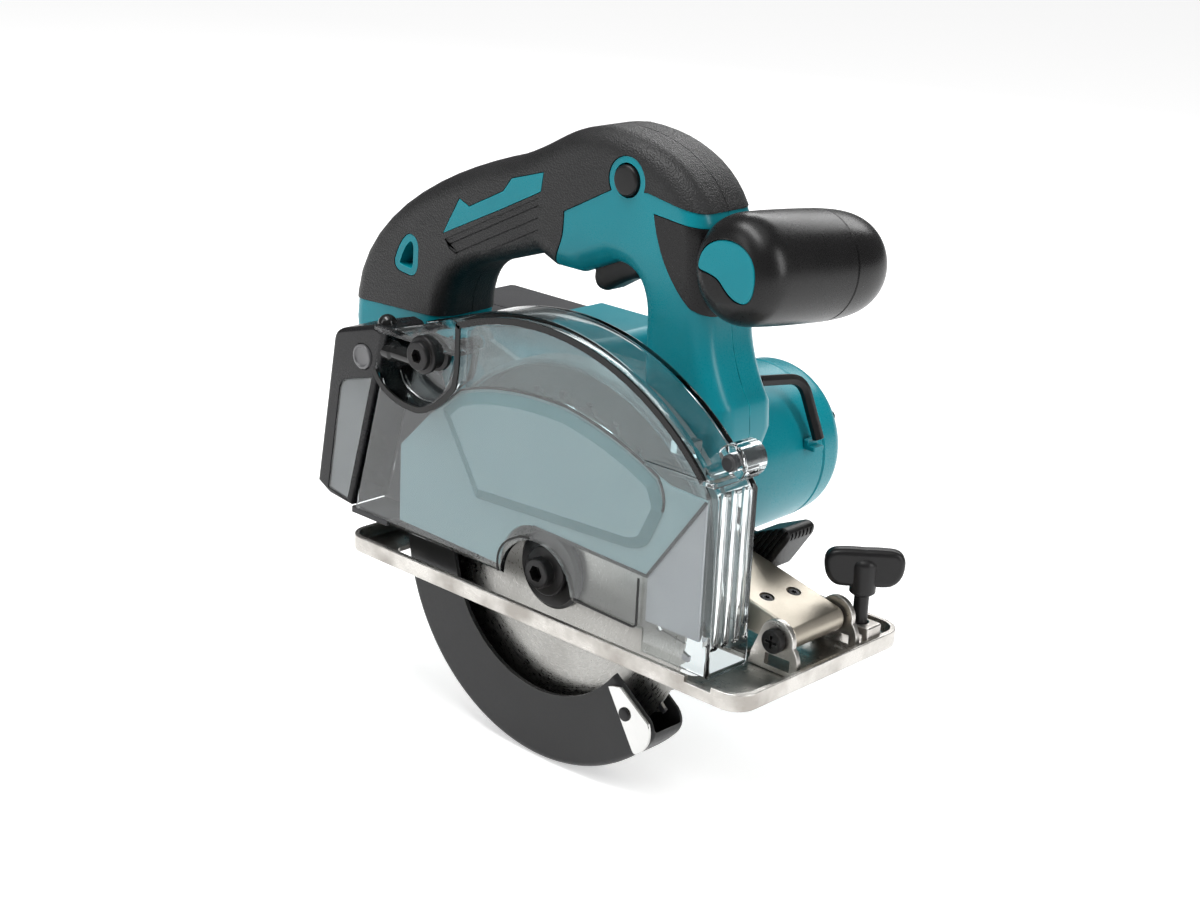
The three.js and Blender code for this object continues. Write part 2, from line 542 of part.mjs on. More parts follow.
piece(saw, 'switch_unit', box(-36, 2, HANDLE_Y - 8, HANDLE_Y + 8, 154, 168), DARK_PLASTIC);
const triggerShape = new THREE.Shape();
triggerShape.moveTo(-14, 146);
triggerShape.lineTo(-15, 130);
triggerShape.quadraticCurveTo(-12, 124, -6, 127);
triggerShape.quadraticCurveTo(2, 134, 10, 136);
triggerShape.lineTo(13, 141);
triggerShape.lineTo(12, 146);
const triggerNearY = HANDLE_Y - TRIGGER_WIDTH / 2;
const triggerFarY = HANDLE_Y + TRIGGER_WIDTH / 2;
piece(saw, 'trigger', roundedSidePlate(triggerShape, triggerNearY, triggerFarY, 1.5, 0, 4), BLACK_PLASTIC);
const buttonLength = HANDLE_HALF_WIDTH + 1.2;
piece(saw, 'lock_off_button', rod(BUTTON_RADIUS, HANDLE_Y - buttonLength, HANDLE_Y + buttonLength,
  BUTTON_X, BUTTON_Z),
  BLACK_PLASTIC);
piece(saw, 'controller', box(-134, -100, HANDLE_Y - 9, HANDLE_Y + 9, 34, 74), DARK_PLASTIC);

// ---- Battery: slides out rearwards along the far side of the housing ---------------------

const BATTERY_NEAR_Y = HANDLE_FAR_Y + 3;
const BATTERY_FAR_Y = BATTERY_NEAR_Y + BATTERY_THICKNESS;
const BATTERY_FRONT_X = BATTERY_REAR_X + BATTERY_LENGTH;
const BATTERY_TOP_Z = BATTERY_LOW_Z + BATTERY_WIDTH;
const LATCH_TRAVEL = 3;
const batteryShape = roundedRectangle(BATTERY_REAR_X, BATTERY_FRONT_X, BATTERY_LOW_Z, BATTERY_TOP_Z, 6);
const latchX = BATTERY_REAR_X + 8;
const LATCH_LOW_Z = 38;
const LATCH_TOP_Z = 66;
const latchNearY = BATTERY_NEAR_Y + 4;
const latchFarY = BATTERY_NEAR_Y + 20;
const latchSlot = box(BATTERY_REAR_X - 1, latchX, latchNearY, latchFarY + LATCH_TRAVEL, LATCH_LOW_Z,
  LATCH_TOP_Z);
const batteryCase = roundedSidePlate(batteryShape, BATTERY_NEAR_Y, BATTERY_FAR_Y, 4, 0, 3)
  .subtract(latchSlot);
piece(saw, 'battery_case', batteryCase, DARK_PLASTIC);
const latchBody = box(BATTERY_REAR_X + 0.8, latchX - GAP, latchNearY + GAP, latchFarY - GAP,
  LATCH_LOW_Z + GAP, LATCH_TOP_Z - GAP);
piece(saw, 'battery_latch', latchBody, GREY_PLASTIC);
piece(saw, 'terminal_block', box(-108, -60, HANDLE_FAR_Y + GAP, BATTERY_NEAR_Y - GAP, 36, 68), BLACK_PLASTIC);

const SHROUD_REAR_X = -87;
const SHROUD_FRONT_X = -41;
const SHROUD_WALL = 2.4;
const shroudOuter = roundedSidePlate(
  roundedRectangle(SHROUD_REAR_X - 12, SHROUD_FRONT_X, BATTERY_LOW_Z - 3, BATTERY_TOP_Z + 3, 6),
  HANDLE_FAR_Y - 12, BATTERY_FAR_Y + 3, 5, 0, 3);
const shroudSpace = box(SHROUD_REAR_X - 20, SHROUD_FRONT_X - SHROUD_WALL, HANDLE_FAR_Y - 20,
  BATTERY_FAR_Y + 3 - SHROUD_WALL,
  BATTERY_LOW_Z - 3 + SHROUD_WALL, BATTERY_TOP_Z + 3 - SHROUD_WALL);
const shroudCut = box(SHROUD_REAR_X, SHROUD_FRONT_X + 5, HANDLE_FAR_Y + GAP, BATTERY_FAR_Y + 10, 0, 120);
piece(saw, 'battery_shroud', shroudOuter.subtract(shroudSpace).intersect(shroudCut), TEAL);

// ---- Front grip: a round knob across the front of the pillar ------------------------------

const knobGroup = groupAt(...KNOB_CENTRE);
knobGroup.rotation.set(...KNOB_TURN.map((degrees) => degrees * DEG));
const knobHalf = KNOB_LENGTH / 2;
const knobSplit = knobHalf - 26;
const knobProfile = [[0, -knobHalf], [KNOB_RADIUS - 7, -knobHalf], [KNOB_RADIUS - 2.5, -knobHalf + 3],
  [KNOB_RADIUS, -knobHalf + 10],
  [KNOB_RADIUS + 0.6, -knobHalf + 35], [KNOB_RADIUS, knobHalf - 18], [KNOB_RADIUS - 1.5, knobHalf - 8],
  [KNOB_RADIUS - 6, knobHalf - 2], [KNOB_RADIUS - 11, knobHalf], [0, knobHalf]];
const knob = turned(knobProfile, 32);
const knobNearSpace = box(-60, 60, -80, knobSplit - GAP / 2, -60, 60);
const knobFarSpace = box(-60, 60, knobSplit + GAP / 2, 80, -60, 60);
const inlayShape = new THREE.Shape();
inlayShape.absellipse(0, 0, KNOB_RADIUS - 6.5, KNOB_RADIUS - 11, 0, 2 * Math.PI, false, 0);
const inlaySeat = sidePlate(inlayShape, -knobHalf - 1, -knobHalf + 1.5 + GAP, 12);
const inlay = sidePlate(inlayShape, -knobHalf + 0.2, -knobHalf + 1.5, 12).scale([0.97, 1, 0.97]);
piece(knobGroup, 'front_grip', knob.intersect(knobNearSpace).subtract(inlaySeat), BLACK_RUBBER);
piece(knobGroup, 'front_grip_cap', knob.intersect(knobFarSpace), BLACK_PLASTIC);
piece(knobGroup, 'front_grip_inlay', inlay, TEAL);

// ---- Blade case: an alloy tray behind the blade -------------------------------------------

const CASE_LOW_Z = BASE_LIP + 1;
const CASE_INNER_RADIUS = GUARD_RADIUS + RUN;
const CASE_OUTER_RADIUS = CASE_INNER_RADIUS + CASE_PLATE;
const DUST_BOLT_X = -62;
const DUST_BOLT_Z = 96;
const boltLug = outline([[DUST_BOLT_X - 7, DUST_BOLT_Z + 7], [DUST_BOLT_X - 7, DUST_BOLT_Z - 9], [-45, 70],
  [-30, 90],
  [DUST_BOLT_X + 8, DUST_BOLT_Z + 7]]);
const bladeCase = box(-CASE_OUTER_RADIUS, CASE_OUTER_RADIUS, DUST_BACK_Y + GAP, CASE_FAR_Y, CASE_LOW_Z, 200)
  .intersect(rod(CASE_OUTER_RADIUS, DUST_BACK_Y, CASE_FAR_Y + 1, 0, SPINDLE_Z, 48))
  .subtract(rod(CASE_INNER_RADIUS, DUST_BACK_Y - 5, CASE_NEAR_Y, 0, SPINDLE_Z, 48))
  .add(sidePlate(boltLug, CASE_NEAR_Y, CASE_FAR_Y))
  .subtract(rod(FLANGE_RADIUS, -30, CASE_FAR_Y + 1, 0, SPINDLE_Z, 28))
  .subtract(rod(3.2, -30, CASE_FAR_Y + 1, DUST_BOLT_X, DUST_BOLT_Z, 12));
piece(saw, 'blade_case', bladeCase, CASE_ALLOY);
piece(saw, 'lamp', box(60, 68, DUST_BACK_Y - 9, DUST_BACK_Y - DUST_WALL - GAP, 82, 88), SMOKED_PLASTIC);

// ---- Dust box: clear smoked cover, dark rear door, latch and fixings ----------------------

const DUST_REAR_X = -108;
const DUST_REAR_TOP_Z = 101;
const DUST_LOW_Z = 14;
const DUST_PIN_X = 91;
const DUST_PIN_Z = 88;
const dustShape = new THREE.Shape();
dustShape.moveTo(DUST_REAR_X, DUST_LOW_Z);
dustShape.lineTo(DUST_FRONT_X, DUST_LOW_Z);
dustShape.absarc(DUST_ARC_X, DUST_ARC_Z, DUST_ARC_RADIUS,
  Math.acos((DUST_FRONT_X - DUST_ARC_X) / DUST_ARC_RADIUS), 112 * DEG,
  false);
dustShape.lineTo(DUST_REAR_X + DUST_TILT * (DUST_REAR_TOP_Z - DUST_LOW_Z), DUST_REAR_TOP_Z);
const DUST_NOTCH_RADIUS = 20;
const DUST_NOTCH_X = 5;
const dustForm = (inset) => roundedSidePlate(dustShape, DUST_FACE_Y, DUST_BACK_Y, 4, inset, 12);
const COLUMN_REAR_X = 62;
const columnFoot = box(COLUMN_REAR_X, DUST_FRONT_X, DUST_FACE_Y, DUST_BACK_Y, 6, DUST_LOW_Z + 5);
const columnSpace = box(COLUMN_REAR_X - 20, DUST_FRONT_X - DUST_WALL, DUST_FACE_Y + DUST_WALL,
  DUST_BACK_Y + 1,
  0, DUST_LOW_Z + 8);
const guardSpace = rod(GUARD_RADIUS + 2 * RUN, GUARD_NEAR_Y - 3, 0, 0, SPINDLE_Z, 48);
const dustLug = rod(7, DUST_FACE_Y + 12, DUST_BACK_Y, DUST_PIN_X, DUST_PIN_Z, 16);
const dustCover = dustForm(0)
  .add(columnFoot)
  .add(dustLug)
  .subtract(dustForm(DUST_WALL))
  .subtract(dustForm(DUST_WALL).translate([-5, 0, 0]))
  .subtract(columnSpace)
  .subtract(box(-GUARD_RADIUS - 2, 60, DUST_FACE_Y + DUST_WALL, 0, 0, 30))
  .subtract(guardSpace)
  .subtract(rod(DUST_NOTCH_RADIUS, DUST_FACE_Y - 1, -38, DUST_NOTCH_X, DUST_LOW_Z, 32))
  .subtract(rod(3.2, DUST_FACE_Y - 1, 0, DUST_BOLT_X, DUST_BOLT_Z, 12))
  .subtract(rod(3.5, DUST_FACE_Y, 0, DUST_PIN_X, DUST_PIN_Z, 12));
piece(saw, 'dust_cover', dustCover, SMOKED_PLASTIC);
const coverBolt = turned([[0, CASE_NEAR_Y - GAP], [2.8, CASE_NEAR_Y - GAP], [2.8, DUST_FACE_Y - GAP],
  [8, DUST_FACE_Y - GAP],
  [8, DUST_FACE_Y - 2], [6, DUST_FACE_Y - 2], [6, DUST_FACE_Y - 5], [0, DUST_FACE_Y - 5]].reverse(), 20);
piece(saw, 'cover_bolt', coverBolt.subtract(rod(3, DUST_FACE_Y - 6, DUST_FACE_Y - 2, 0, 0, 6))
  .translate([DUST_BOLT_X, 0, DUST_BOLT_Z]),
  BLACK_STEEL);
piece(saw, 'cover_pin', rod(3.2, DUST_FACE_Y + 10, DUST_BACK_Y + 3, DUST_PIN_X, DUST_PIN_Z, 16),
  GREY_PLASTIC);

// The liner is a tinted panel just inside the clear face, with a raised field and a cut-out for the bolt.
const LINER_BACK_Y = GUARD_NEAR_Y - 3.4;
const LINER_STEP_Y = LINER_BACK_Y - 1;
const linerShape = outline([[-80, 18], [-19, 16.5], [-18, 25], [-12, 33], [0, 38.5], [18, 38], [61, 36.5],
  [88, 74], [70, 75],
  [64, 77], [52, 83], [36, 89], [15, 92], [-7, 92], [-24, 90], [-44, 84], [-62, 70], [-80, 52]]);
const fieldShape = outline([[-54, 74], [-33, 41.5], [50, 45], [60, 49], [67, 63], [63, 75.5], [51, 81.5],
  [35.5, 87.5],
  [15, 90.5], [-7, 90.5], [-24, 88.5], [-44, 82.5]]);
const liner = sidePlate(linerShape, LINER_STEP_Y, LINER_BACK_Y)
  .add(roundedSidePlate(fieldShape, DUST_FACE_Y + DUST_WALL + GAP, LINER_BACK_Y, 1.2));
piece(saw, 'dust_liner', liner, CASE_ALLOY);

const DOOR_REAR_X = -131;
const DOOR_LATCH_X = -101;
const DOOR_LATCH_Z = 86;
const doorShape = outline([
  [DUST_REAR_X - RUN, DUST_LOW_Z + 3],
  [DUST_REAR_X - RUN + DUST_TILT * 84, 98],
  [-95, 101],
  [DOOR_LATCH_X - 15, DOOR_LATCH_Z + 9],
  [DOOR_LATCH_X - 19, DOOR_LATCH_Z + 5],
  [DOOR_REAR_X, 22.5],
  [DOOR_REAR_X + 8, 18.5],
]);
const doorInner = roundedSidePlate(doorShape, DUST_FACE_Y, DUST_BACK_Y, 2, DUST_WALL, 4);
const latchBore = rod(5.8, DUST_FACE_Y - 1, DUST_BACK_Y + 1, DOOR_LATCH_X, DOOR_LATCH_Z, 16);
const latchBarrel = rod(8, DUST_FACE_Y, DUST_BACK_Y, DOOR_LATCH_X, DOOR_LATCH_Z, 20)
  .intersect(sidePlate(doorShape, DUST_FACE_Y, DUST_BACK_Y));
const doorBody = roundedSidePlate(doorShape, DUST_FACE_Y, DUST_BACK_Y, 2, 0, 4)
  .subtract(doorInner)
  .subtract(doorInner.translate([6, 0, 0]))
  .add(latchBarrel)
  .subtract(latchBore);
piece(saw, 'dust_door', doorBody, DARK_PLASTIC);
piece(saw, 'door_latch', rod(5.4, DUST_FACE_Y - 1, DUST_BACK_Y - 4, DOOR_LATCH_X, DOOR_LATCH_Z, 20),
  DARK_PLASTIC);

// ---- Lower guard: a sprung steel crescent round the blade ---------------------------------

const GUARD_FRONT = -35;
const GUARD_REAR = -225;
const guardBand = (inner, outer, y0, y1) => sidePlate(band(inner, outer, GUARD_REAR, GUARD_FRONT), y0, y1,
  18);
const guardHubNearY = GUARD_FAR_Y - GUARD_WALL;
const guard = guardBand(GUARD_RADIUS - GUARD_BAND, GUARD_RADIUS, GUARD_NEAR_Y, GUARD_NEAR_Y + GUARD_WALL)
  .add(guardBand(GUARD_RADIUS - GUARD_WALL, GUARD_RADIUS, GUARD_NEAR_Y, GUARD_FAR_Y))
  .add(guardBand(FLANGE_RADIUS + 3, GUARD_RADIUS, guardHubNearY, GUARD_FAR_Y))
  .add(rod(FLANGE_RADIUS + 6, guardHubNearY, GUARD_FAR_Y))
  .subtract(rod(FLANGE_RADIUS + GAP, -30, 0, 0, 0, 32));
const RIVET_X = 50;
const RIVET_Z = -44.5;
const rivetHole = rod(1.9, GUARD_NEAR_Y - 3, GUARD_NEAR_Y + 3, RIVET_X, RIVET_Z, 12);
piece(spindleGroup, 'lower_guard', guard.subtract(rivetHole), BLACK_STEEL);
const noseShape = new THREE.Shape();
noseShape.absarc(0, 0, GUARD_RADIUS - GUARD_BAND + 1.5, -44 * DEG, (GUARD_FRONT - 0.5) * DEG, false);
noseShape.absarc(0, 0, GUARD_RADIUS - 0.5, (GUARD_FRONT - 1) * DEG, -48.5 * DEG, true);
const nosePlate = sidePlate(noseShape, GUARD_NEAR_Y - 1.4, GUARD_NEAR_Y - GAP, 6);
piece(spindleGroup, 'guard_nose_plate', nosePlate.subtract(rivetHole), BRIGHT_STEEL);
const rivet = turned([[0, GUARD_NEAR_Y + GUARD_WALL], [1.6, GUARD_NEAR_Y + GUARD_WALL],
  [1.6, GUARD_NEAR_Y - 1.7],
  [2.9, GUARD_NEAR_Y - 1.7], [2.9, GUARD_NEAR_Y - 2.5], [0, GUARD_NEAR_Y - 2.5]].reverse(), 16);
piece(spindleGroup, 'guard_rivet', rivet.translate([RIVET_X, 0, RIVET_Z]), BLACK_STEEL);
piece(spindleGroup, 'guard_spring', ring(FLANGE_RADIUS + 5, FLANGE_RADIUS + 1, GUARD_FAR_Y + GAP,
  CASE_NEAR_Y - GAP), BRIGHT_STEEL);

// ---- Base: a pressed plate on a front hinge, with its depth guide -------------------------

const SLOT_NEAR_Y = GUARD_NEAR_Y - 3;
const SLOT_FAR_Y = HANDLE_NEAR_Y + 1;
const GUIDE_NEAR_Y = CASE_NEAR_Y + 0.2;
const GUIDE_FAR_Y = HANDLE_NEAR_Y - GAP;
const SLOT_HALF_LENGTH = GUARD_RADIUS + 4;
const baseNearY = -BASE_WIDTH / 2;
const baseFarY = BASE_WIDTH / 2;
const basePlate = planPlate(roundedRectangle(BASE_REAR_X, BASE_FRONT_X, baseNearY, baseFarY, BASE_CORNER),
  0, BASE_LIP)
  .subtract(planPlate(roundedRectangle(BASE_REAR_X + BASE_SHEET, BASE_FRONT_X - BASE_SHEET,
    baseNearY + BASE_SHEET,
    baseFarY - BASE_SHEET, BASE_CORNER - BASE_SHEET), BASE_SHEET, BASE_LIP + 1))
  .subtract(box(-SLOT_HALF_LENGTH, SLOT_HALF_LENGTH, SLOT_NEAR_Y, SLOT_FAR_Y, -1, BASE_SHEET + 1))
  .subtract(box(BASE_REAR_X - 1, BASE_REAR_X + 4, GUIDE_NEAR_Y - GAP, GUIDE_FAR_Y + GAP, BASE_SHEET,
    BASE_LIP + 1));
piece(saw, 'base_plate', basePlate, SATIN_ALLOY);

const EAR_THICKNESS = 2.5;
const EAR_NEAR_Y = -14;
const EAR_FAR_Y = 25.5;
const RULE_SLOT_X = [98, 110];
const RULE_SLOT_Z = [BASE_SHEET + GAP + 2.1, 9.2];
const footZ = BASE_SHEET + GAP;
const earShape = new THREE.Shape();
earShape.moveTo(90, footZ);
earShape.lineTo(114, footZ);
earShape.lineTo(113, 12);
earShape.absarc(PIVOT_X, PIVOT_Z, 8, -10 * DEG, 170 * DEG, false);
earShape.lineTo(91, 8);
const earHole = rod(PIVOT_PIN_RADIUS + GAP, EAR_NEAR_Y - 1, EAR_FAR_Y + 1, PIVOT_X, PIVOT_Z, 16);
const bracket = sidePlate(earShape, EAR_NEAR_Y, EAR_NEAR_Y + EAR_THICKNESS, 6)
  .add(sidePlate(earShape, EAR_FAR_Y - EAR_THICKNESS, EAR_FAR_Y, 6))
  .add(box(90, 114, EAR_NEAR_Y, EAR_FAR_Y, footZ, footZ + 2))
  .subtract(box(...RULE_SLOT_X, EAR_NEAR_Y - 1, EAR_FAR_Y + 1, ...RULE_SLOT_Z))
  .subtract(earHole);
piece(saw, 'pivot_bracket', bracket, SATIN_ALLOY);
piece(saw, 'pivot_pin', rod(PIVOT_PIN_RADIUS, EAR_NEAR_Y - 1, EAR_FAR_Y + 1, PIVOT_X, PIVOT_Z, 16)
  .add(rod(4.8, EAR_NEAR_Y - 3.5, EAR_NEAR_Y - GAP, PIVOT_X, PIVOT_Z, 16)), BLACK_STEEL);

const ARM_NEAR_Y = -9.8;
const ARM_FAR_Y = 21.5;
const armShape = new THREE.Shape();
armShape.absarc(PIVOT_X, PIVOT_Z, 5.6, -100 * DEG, 60 * DEG, false);
armShape.lineTo(GEAR_CASE_FRONT_X + 22, 35);
armShape.lineTo(GEAR_CASE_FRONT_X + GAP, 37);
armShape.lineTo(GEAR_CASE_FRONT_X + GAP, 14);
armShape.lineTo(70, 14);
armShape.lineTo(96, 11);
const armRelief = box(GEAR_CASE_FRONT_X + 8, 88, ARM_NEAR_Y + 3.5, ARM_FAR_Y - 3.5, 0, 19);
const arm = sidePlate(armShape, ARM_NEAR_Y, ARM_FAR_Y, 8)
  .subtract(armRelief)
  .subtract(rod(MOTOR_RADIUS + 0.5, MOTOR_NEAR_Y - GAP, ARM_FAR_Y + 1, 0, MOTOR_Z, 32))
  .subtract(rod(PIVOT_PIN_RADIUS + GAP, ARM_NEAR_Y - 1, ARM_FAR_Y + 1, PIVOT_X, PIVOT_Z, 16));
piece(saw, 'pivot_arm', arm, SATIN_ALLOY);

const GUIDE_HALF = 6;
const guideFootAngle = Math.asin((PIVOT_Z - footZ) / DEPTH_RADIUS) / DEG;
/** An arc of the depth guide, measured in degrees above the pivot's level at the rear. */
const guideBand = (half, from, to) => band(DEPTH_RADIUS - half, DEPTH_RADIUS + half, 180 - to, 180 - from,
  PIVOT_X, PIVOT_Z);
const guide = sidePlate(guideBand(GUIDE_HALF, -guideFootAngle + 1, DEPTH_SWING + 2.5), GUIDE_NEAR_Y,
  GUIDE_FAR_Y, 12)
  .add(box(-108, -97, GUIDE_NEAR_Y, GUIDE_FAR_Y, footZ, 8))
  .add(box(-102.5, -97, GUIDE_NEAR_Y, 4, footZ, footZ + 2))
  .subtract(sidePlate(guideBand(DEPTH_BOLT_RADIUS + GAP, -0.8, DEPTH_SWING + 0.8), -20, 0, 12));
piece(saw, 'depth_guide', guide.subtract(box(-130, -90, -30, 10, -5, footZ)), SATIN_ALLOY);

const leverShape = new THREE.Shape();
leverShape.moveTo(depthBoltX + 6, PIVOT_Z - 3);
leverShape.absarc(depthBoltX, PIVOT_Z + 1, 6.5, 0, Math.PI / 2, false);
leverShape.lineTo(depthBoltX - 38, PIVOT_Z + 12);
leverShape.lineTo(depthBoltX - 42, PIVOT_Z + 8);
leverShape.lineTo(depthBoltX - 38, PIVOT_Z + 3);
leverShape.lineTo(depthBoltX - 4, PIVOT_Z - 4);
const lever = roundedSidePlate(leverShape, DUST_BACK_Y + 1, GUIDE_NEAR_Y - GAP, 1, 0, 4)
  .add(rod(DEPTH_BOLT_RADIUS, GUIDE_NEAR_Y - 2, HANDLE_NEAR_Y + 8, depthBoltX, PIVOT_Z, 12));
piece(saw, 'depth_lever', lever, BLACK_PLASTIC);

// ---- Guide-rule clamp at the front of the base --------------------------------------------

const CLAMP_X = 107.5;
const CLAMP_Y = 33;
const SCREW_RADIUS = 3;
const strap = box(95, 115, CLAMP_Y - 4.5, CLAMP_Y + 4.5, footZ, 12)
  .subtract(box(RULE_SLOT_X[0] - 1, RULE_SLOT_X[1] + 2, CLAMP_Y - 6, CLAMP_Y + 6, 0, RULE_SLOT_Z[1]))
  .subtract(post(SCREW_RADIUS + GAP, 0, 20, CLAMP_X, CLAMP_Y));
piece(saw, 'rule_clamp', strap, SATIN_ALLOY);
const wing = new THREE.Shape();
wing.absellipse(0, 0, 15.5, 7, 0, 2 * Math.PI, false, 0);
const wingBody = roundedSidePlate(wing, -4, 4, 3, 0, 10).rotate([0, 0, 42]).translate([CLAMP_X, CLAMP_Y, 35]);
const clampScrew = post(SCREW_RADIUS, 9.6, 32, CLAMP_X, CLAMP_Y)
  .add(post(5, 24, 32, CLAMP_X, CLAMP_Y))
  .add(wingBody);
piece(saw, 'clamp_screw', clampScrew, BLACK_PLASTIC);

// ---- Shaft lock and the stowed hex key ----------------------------------------------------

const LOCK_NEAR_Y = 24;
const LOCK_FAR_Y = 42;
const lockShape = outline([[53, 25], [64, 21], [75, 37], [76, 41], [72, 42.5], [57, 36]]);
const lockStem = box(42, 60, LOCK_NEAR_Y + 4, LOCK_NEAR_Y + 9, 30, 34);
const lock = roundedSidePlate(lockShape, LOCK_NEAR_Y, LOCK_FAR_Y, 1.5, 0, 3).add(lockStem);
piece(saw, 'shaft_lock', lock, BLACK_PLASTIC);

const KEY_RADIUS = 2.6;
const keyPath = new THREE.CurvePath();
const keyFoot = new THREE.Vector3(clipX + 5.2, clipY + 3.5, MOTOR_Z + 12.6);
const keyBend = new THREE.Vector3(clipX - 4, clipY + 1, MOTOR_Z + MOTOR_RADIUS);
const keyTip = new THREE.Vector3(clipX - 9, clipY - 22, MOTOR_Z + MOTOR_RADIUS + 2);
keyPath.add(new THREE.LineCurve3(keyFoot, keyFoot.clone().lerp(keyBend, 0.8)));
keyPath.add(new THREE.QuadraticBezierCurve3(keyFoot.clone().lerp(keyBend, 0.8), keyBend, keyBend.clone()
  .lerp(keyTip, 0.25)));
keyPath.add(new THREE.LineCurve3(keyBend.clone().lerp(keyTip, 0.25), keyTip));
const keySection = new THREE.Shape();
keySection.absarc(0, 0, KEY_RADIUS, 0, 2 * Math.PI, false);
const keyGeometry = new THREE.ExtrudeGeometry(keySection,
  { extrudePath: keyPath, steps: 18, curveSegments: 3 });
piece(saw, 'hex_key', solid(keyGeometry), BLACK_STEEL);

export default saw;
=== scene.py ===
import math

import bmesh
import bpy
from mathutils import Matrix, Vector
from mathutils.geometry import tessellate_polygon


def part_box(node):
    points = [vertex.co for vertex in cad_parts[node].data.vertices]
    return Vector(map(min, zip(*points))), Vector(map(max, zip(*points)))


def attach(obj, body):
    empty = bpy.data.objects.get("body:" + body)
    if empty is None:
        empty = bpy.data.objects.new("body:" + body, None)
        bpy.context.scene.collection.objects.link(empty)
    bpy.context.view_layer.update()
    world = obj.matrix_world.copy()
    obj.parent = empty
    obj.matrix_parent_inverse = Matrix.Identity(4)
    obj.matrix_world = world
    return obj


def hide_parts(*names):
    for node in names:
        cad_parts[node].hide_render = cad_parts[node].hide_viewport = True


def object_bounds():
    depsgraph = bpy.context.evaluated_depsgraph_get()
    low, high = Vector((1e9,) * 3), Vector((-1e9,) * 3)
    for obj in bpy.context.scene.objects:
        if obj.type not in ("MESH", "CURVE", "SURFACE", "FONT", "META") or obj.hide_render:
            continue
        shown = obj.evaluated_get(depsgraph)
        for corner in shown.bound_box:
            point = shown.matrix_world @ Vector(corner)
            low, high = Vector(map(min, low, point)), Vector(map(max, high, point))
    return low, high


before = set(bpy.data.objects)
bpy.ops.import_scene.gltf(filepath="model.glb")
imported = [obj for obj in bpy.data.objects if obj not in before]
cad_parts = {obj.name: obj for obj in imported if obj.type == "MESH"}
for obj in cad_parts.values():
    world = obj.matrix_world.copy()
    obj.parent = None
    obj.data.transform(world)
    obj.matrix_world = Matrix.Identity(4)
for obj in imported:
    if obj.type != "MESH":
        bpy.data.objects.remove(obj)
cad_low, cad_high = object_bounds()

# ==== Camera, floor and lamps ===============================================================
# The saw stands in front of a plain pale sweep of paper, seen from the front and the blade
# side, a little from above. Large soft lamps hang over it and to both sides.

MM = 0.001
scene = bpy.context.scene
scene.view_settings.view_transform = "Standard"


def link(name, data):
    made = bpy.data.objects.new(name, data)
    scene.collection.objects.link(made)
    return made


def aim(azimuth, elevation, roll=0.0):
    """The turn of a camera or lamp that looks at the saw from that side, in degrees."""
    level = Matrix.Rotation(math.radians(azimuth), 3, "Z")
    tipped = Matrix.Rotation(math.radians(90 - elevation), 3, "X")
    return (level @ tipped @ Matrix.Rotation(math.radians(roll), 3, "Z")).to_4x4()


camera = link("camera", bpy.data.cameras.new("camera"))
camera.matrix_world = Matrix.Translation((0.544109, -0.597423, 0.334901)) @ aim(42.604, 18.707, 2.759)
camera.data.sensor_width = 36
camera.data.lens = 62.64
camera.data.clip_start = 0.01
scene.camera = camera

FLOOR_DROP = 0.0006
floor_mesh = bpy.data.meshes.new("floor")
reach = 6.0
corners = [(-reach, -reach, 0), (reach, -reach, 0), (reach, reach, 0), (-reach, reach, 0)]
floor_mesh.from_pydata(corners, [], [(0, 1, 2, 3)])
floor = link("floor", floor_mesh)
floor.location.z = cad_low[2] - FLOOR_DROP
paper = bpy.data.materials.new("pale_paper")
paper.use_nodes = True
paper.node_tree.nodes["Principled BSDF"].inputs["Base Color"].default_value = (0.9, 0.9, 0.9, 1)
paper.node_tree.nodes["Principled BSDF"].inputs["Roughness"].default_value = 0.8
paper.node_tree.nodes["Principled BSDF"].inputs["Emission Color"].default_value = (1, 1, 1, 1)
paper.node_tree.nodes["Principled BSDF"].inputs["Emission Strength"].default_value = 0.5
floor.data.materials.append(paper)

studio = bpy.data.worlds.new("studio")
studio.use_nodes = True
studio.node_tree.nodes["Background"].inputs["Color"].default_value = (1, 1, 1, 1)
studio.node_tree.nodes["Background"].inputs["Strength"].default_value = 0.15
scene.world = studio

sky_data = bpy.data.lights.new("ceiling", "SUN")
sky_data.energy = 1.05
sky_data.angle = math.radians(70)
sky = link("ceiling", sky_data)
sky.matrix_world = aim(-20, 72)
LAMPS = [
    ("lamp_top", (-0.15, -0.35, 1.25), 1.0, 0.4, 12),
    ("lamp_front_left", (-0.75, -1.35, 0.75), 0.4, 0.9, 4),
    ("lamp_right", (1.35, 0.25, 0.65), 0.3, 1.0, 9),
    ("lamp_back", (-0.4, 1.2, 0.9), 1.2, 0.4, 8),
]
for name, place, width, height, power in LAMPS:
    lamp_data = bpy.data.lights.new(name, "AREA")
    lamp_data.shape = "RECTANGLE"
    lamp_data.size = width
    lamp_data.size_y = height
    lamp_data.energy = power
    lamp = link(name, lamp_data)
    away = Vector(place) - Vector((0, 0, 0.06))
    lamp.matrix_world = Matrix.Translation(place) @ away.to_track_quat("Z", "Y").to_matrix().to_4x4()

# ==== Handle: teal clamshell halves =========================================================
# Two glass-filled nylon mouldings meet at a seam down the middle of the D-shaped handle, and
# are screwed together from the motor side. The black grip is moulded onto them.


def add(tree, kind, inputs=None, **settings):
    """One node of a material or a geometry tree, with its inputs set or linked."""
    made = tree.nodes.new(kind)
    for key, value in settings.items():
        setattr(made, key, value)
    for key, value in (inputs or {}).items():
        if isinstance(value, bpy.types.NodeSocket):
            tree.links.new(value, made.inputs[key])
        else:
            made.inputs[key].default_value = value
    return made


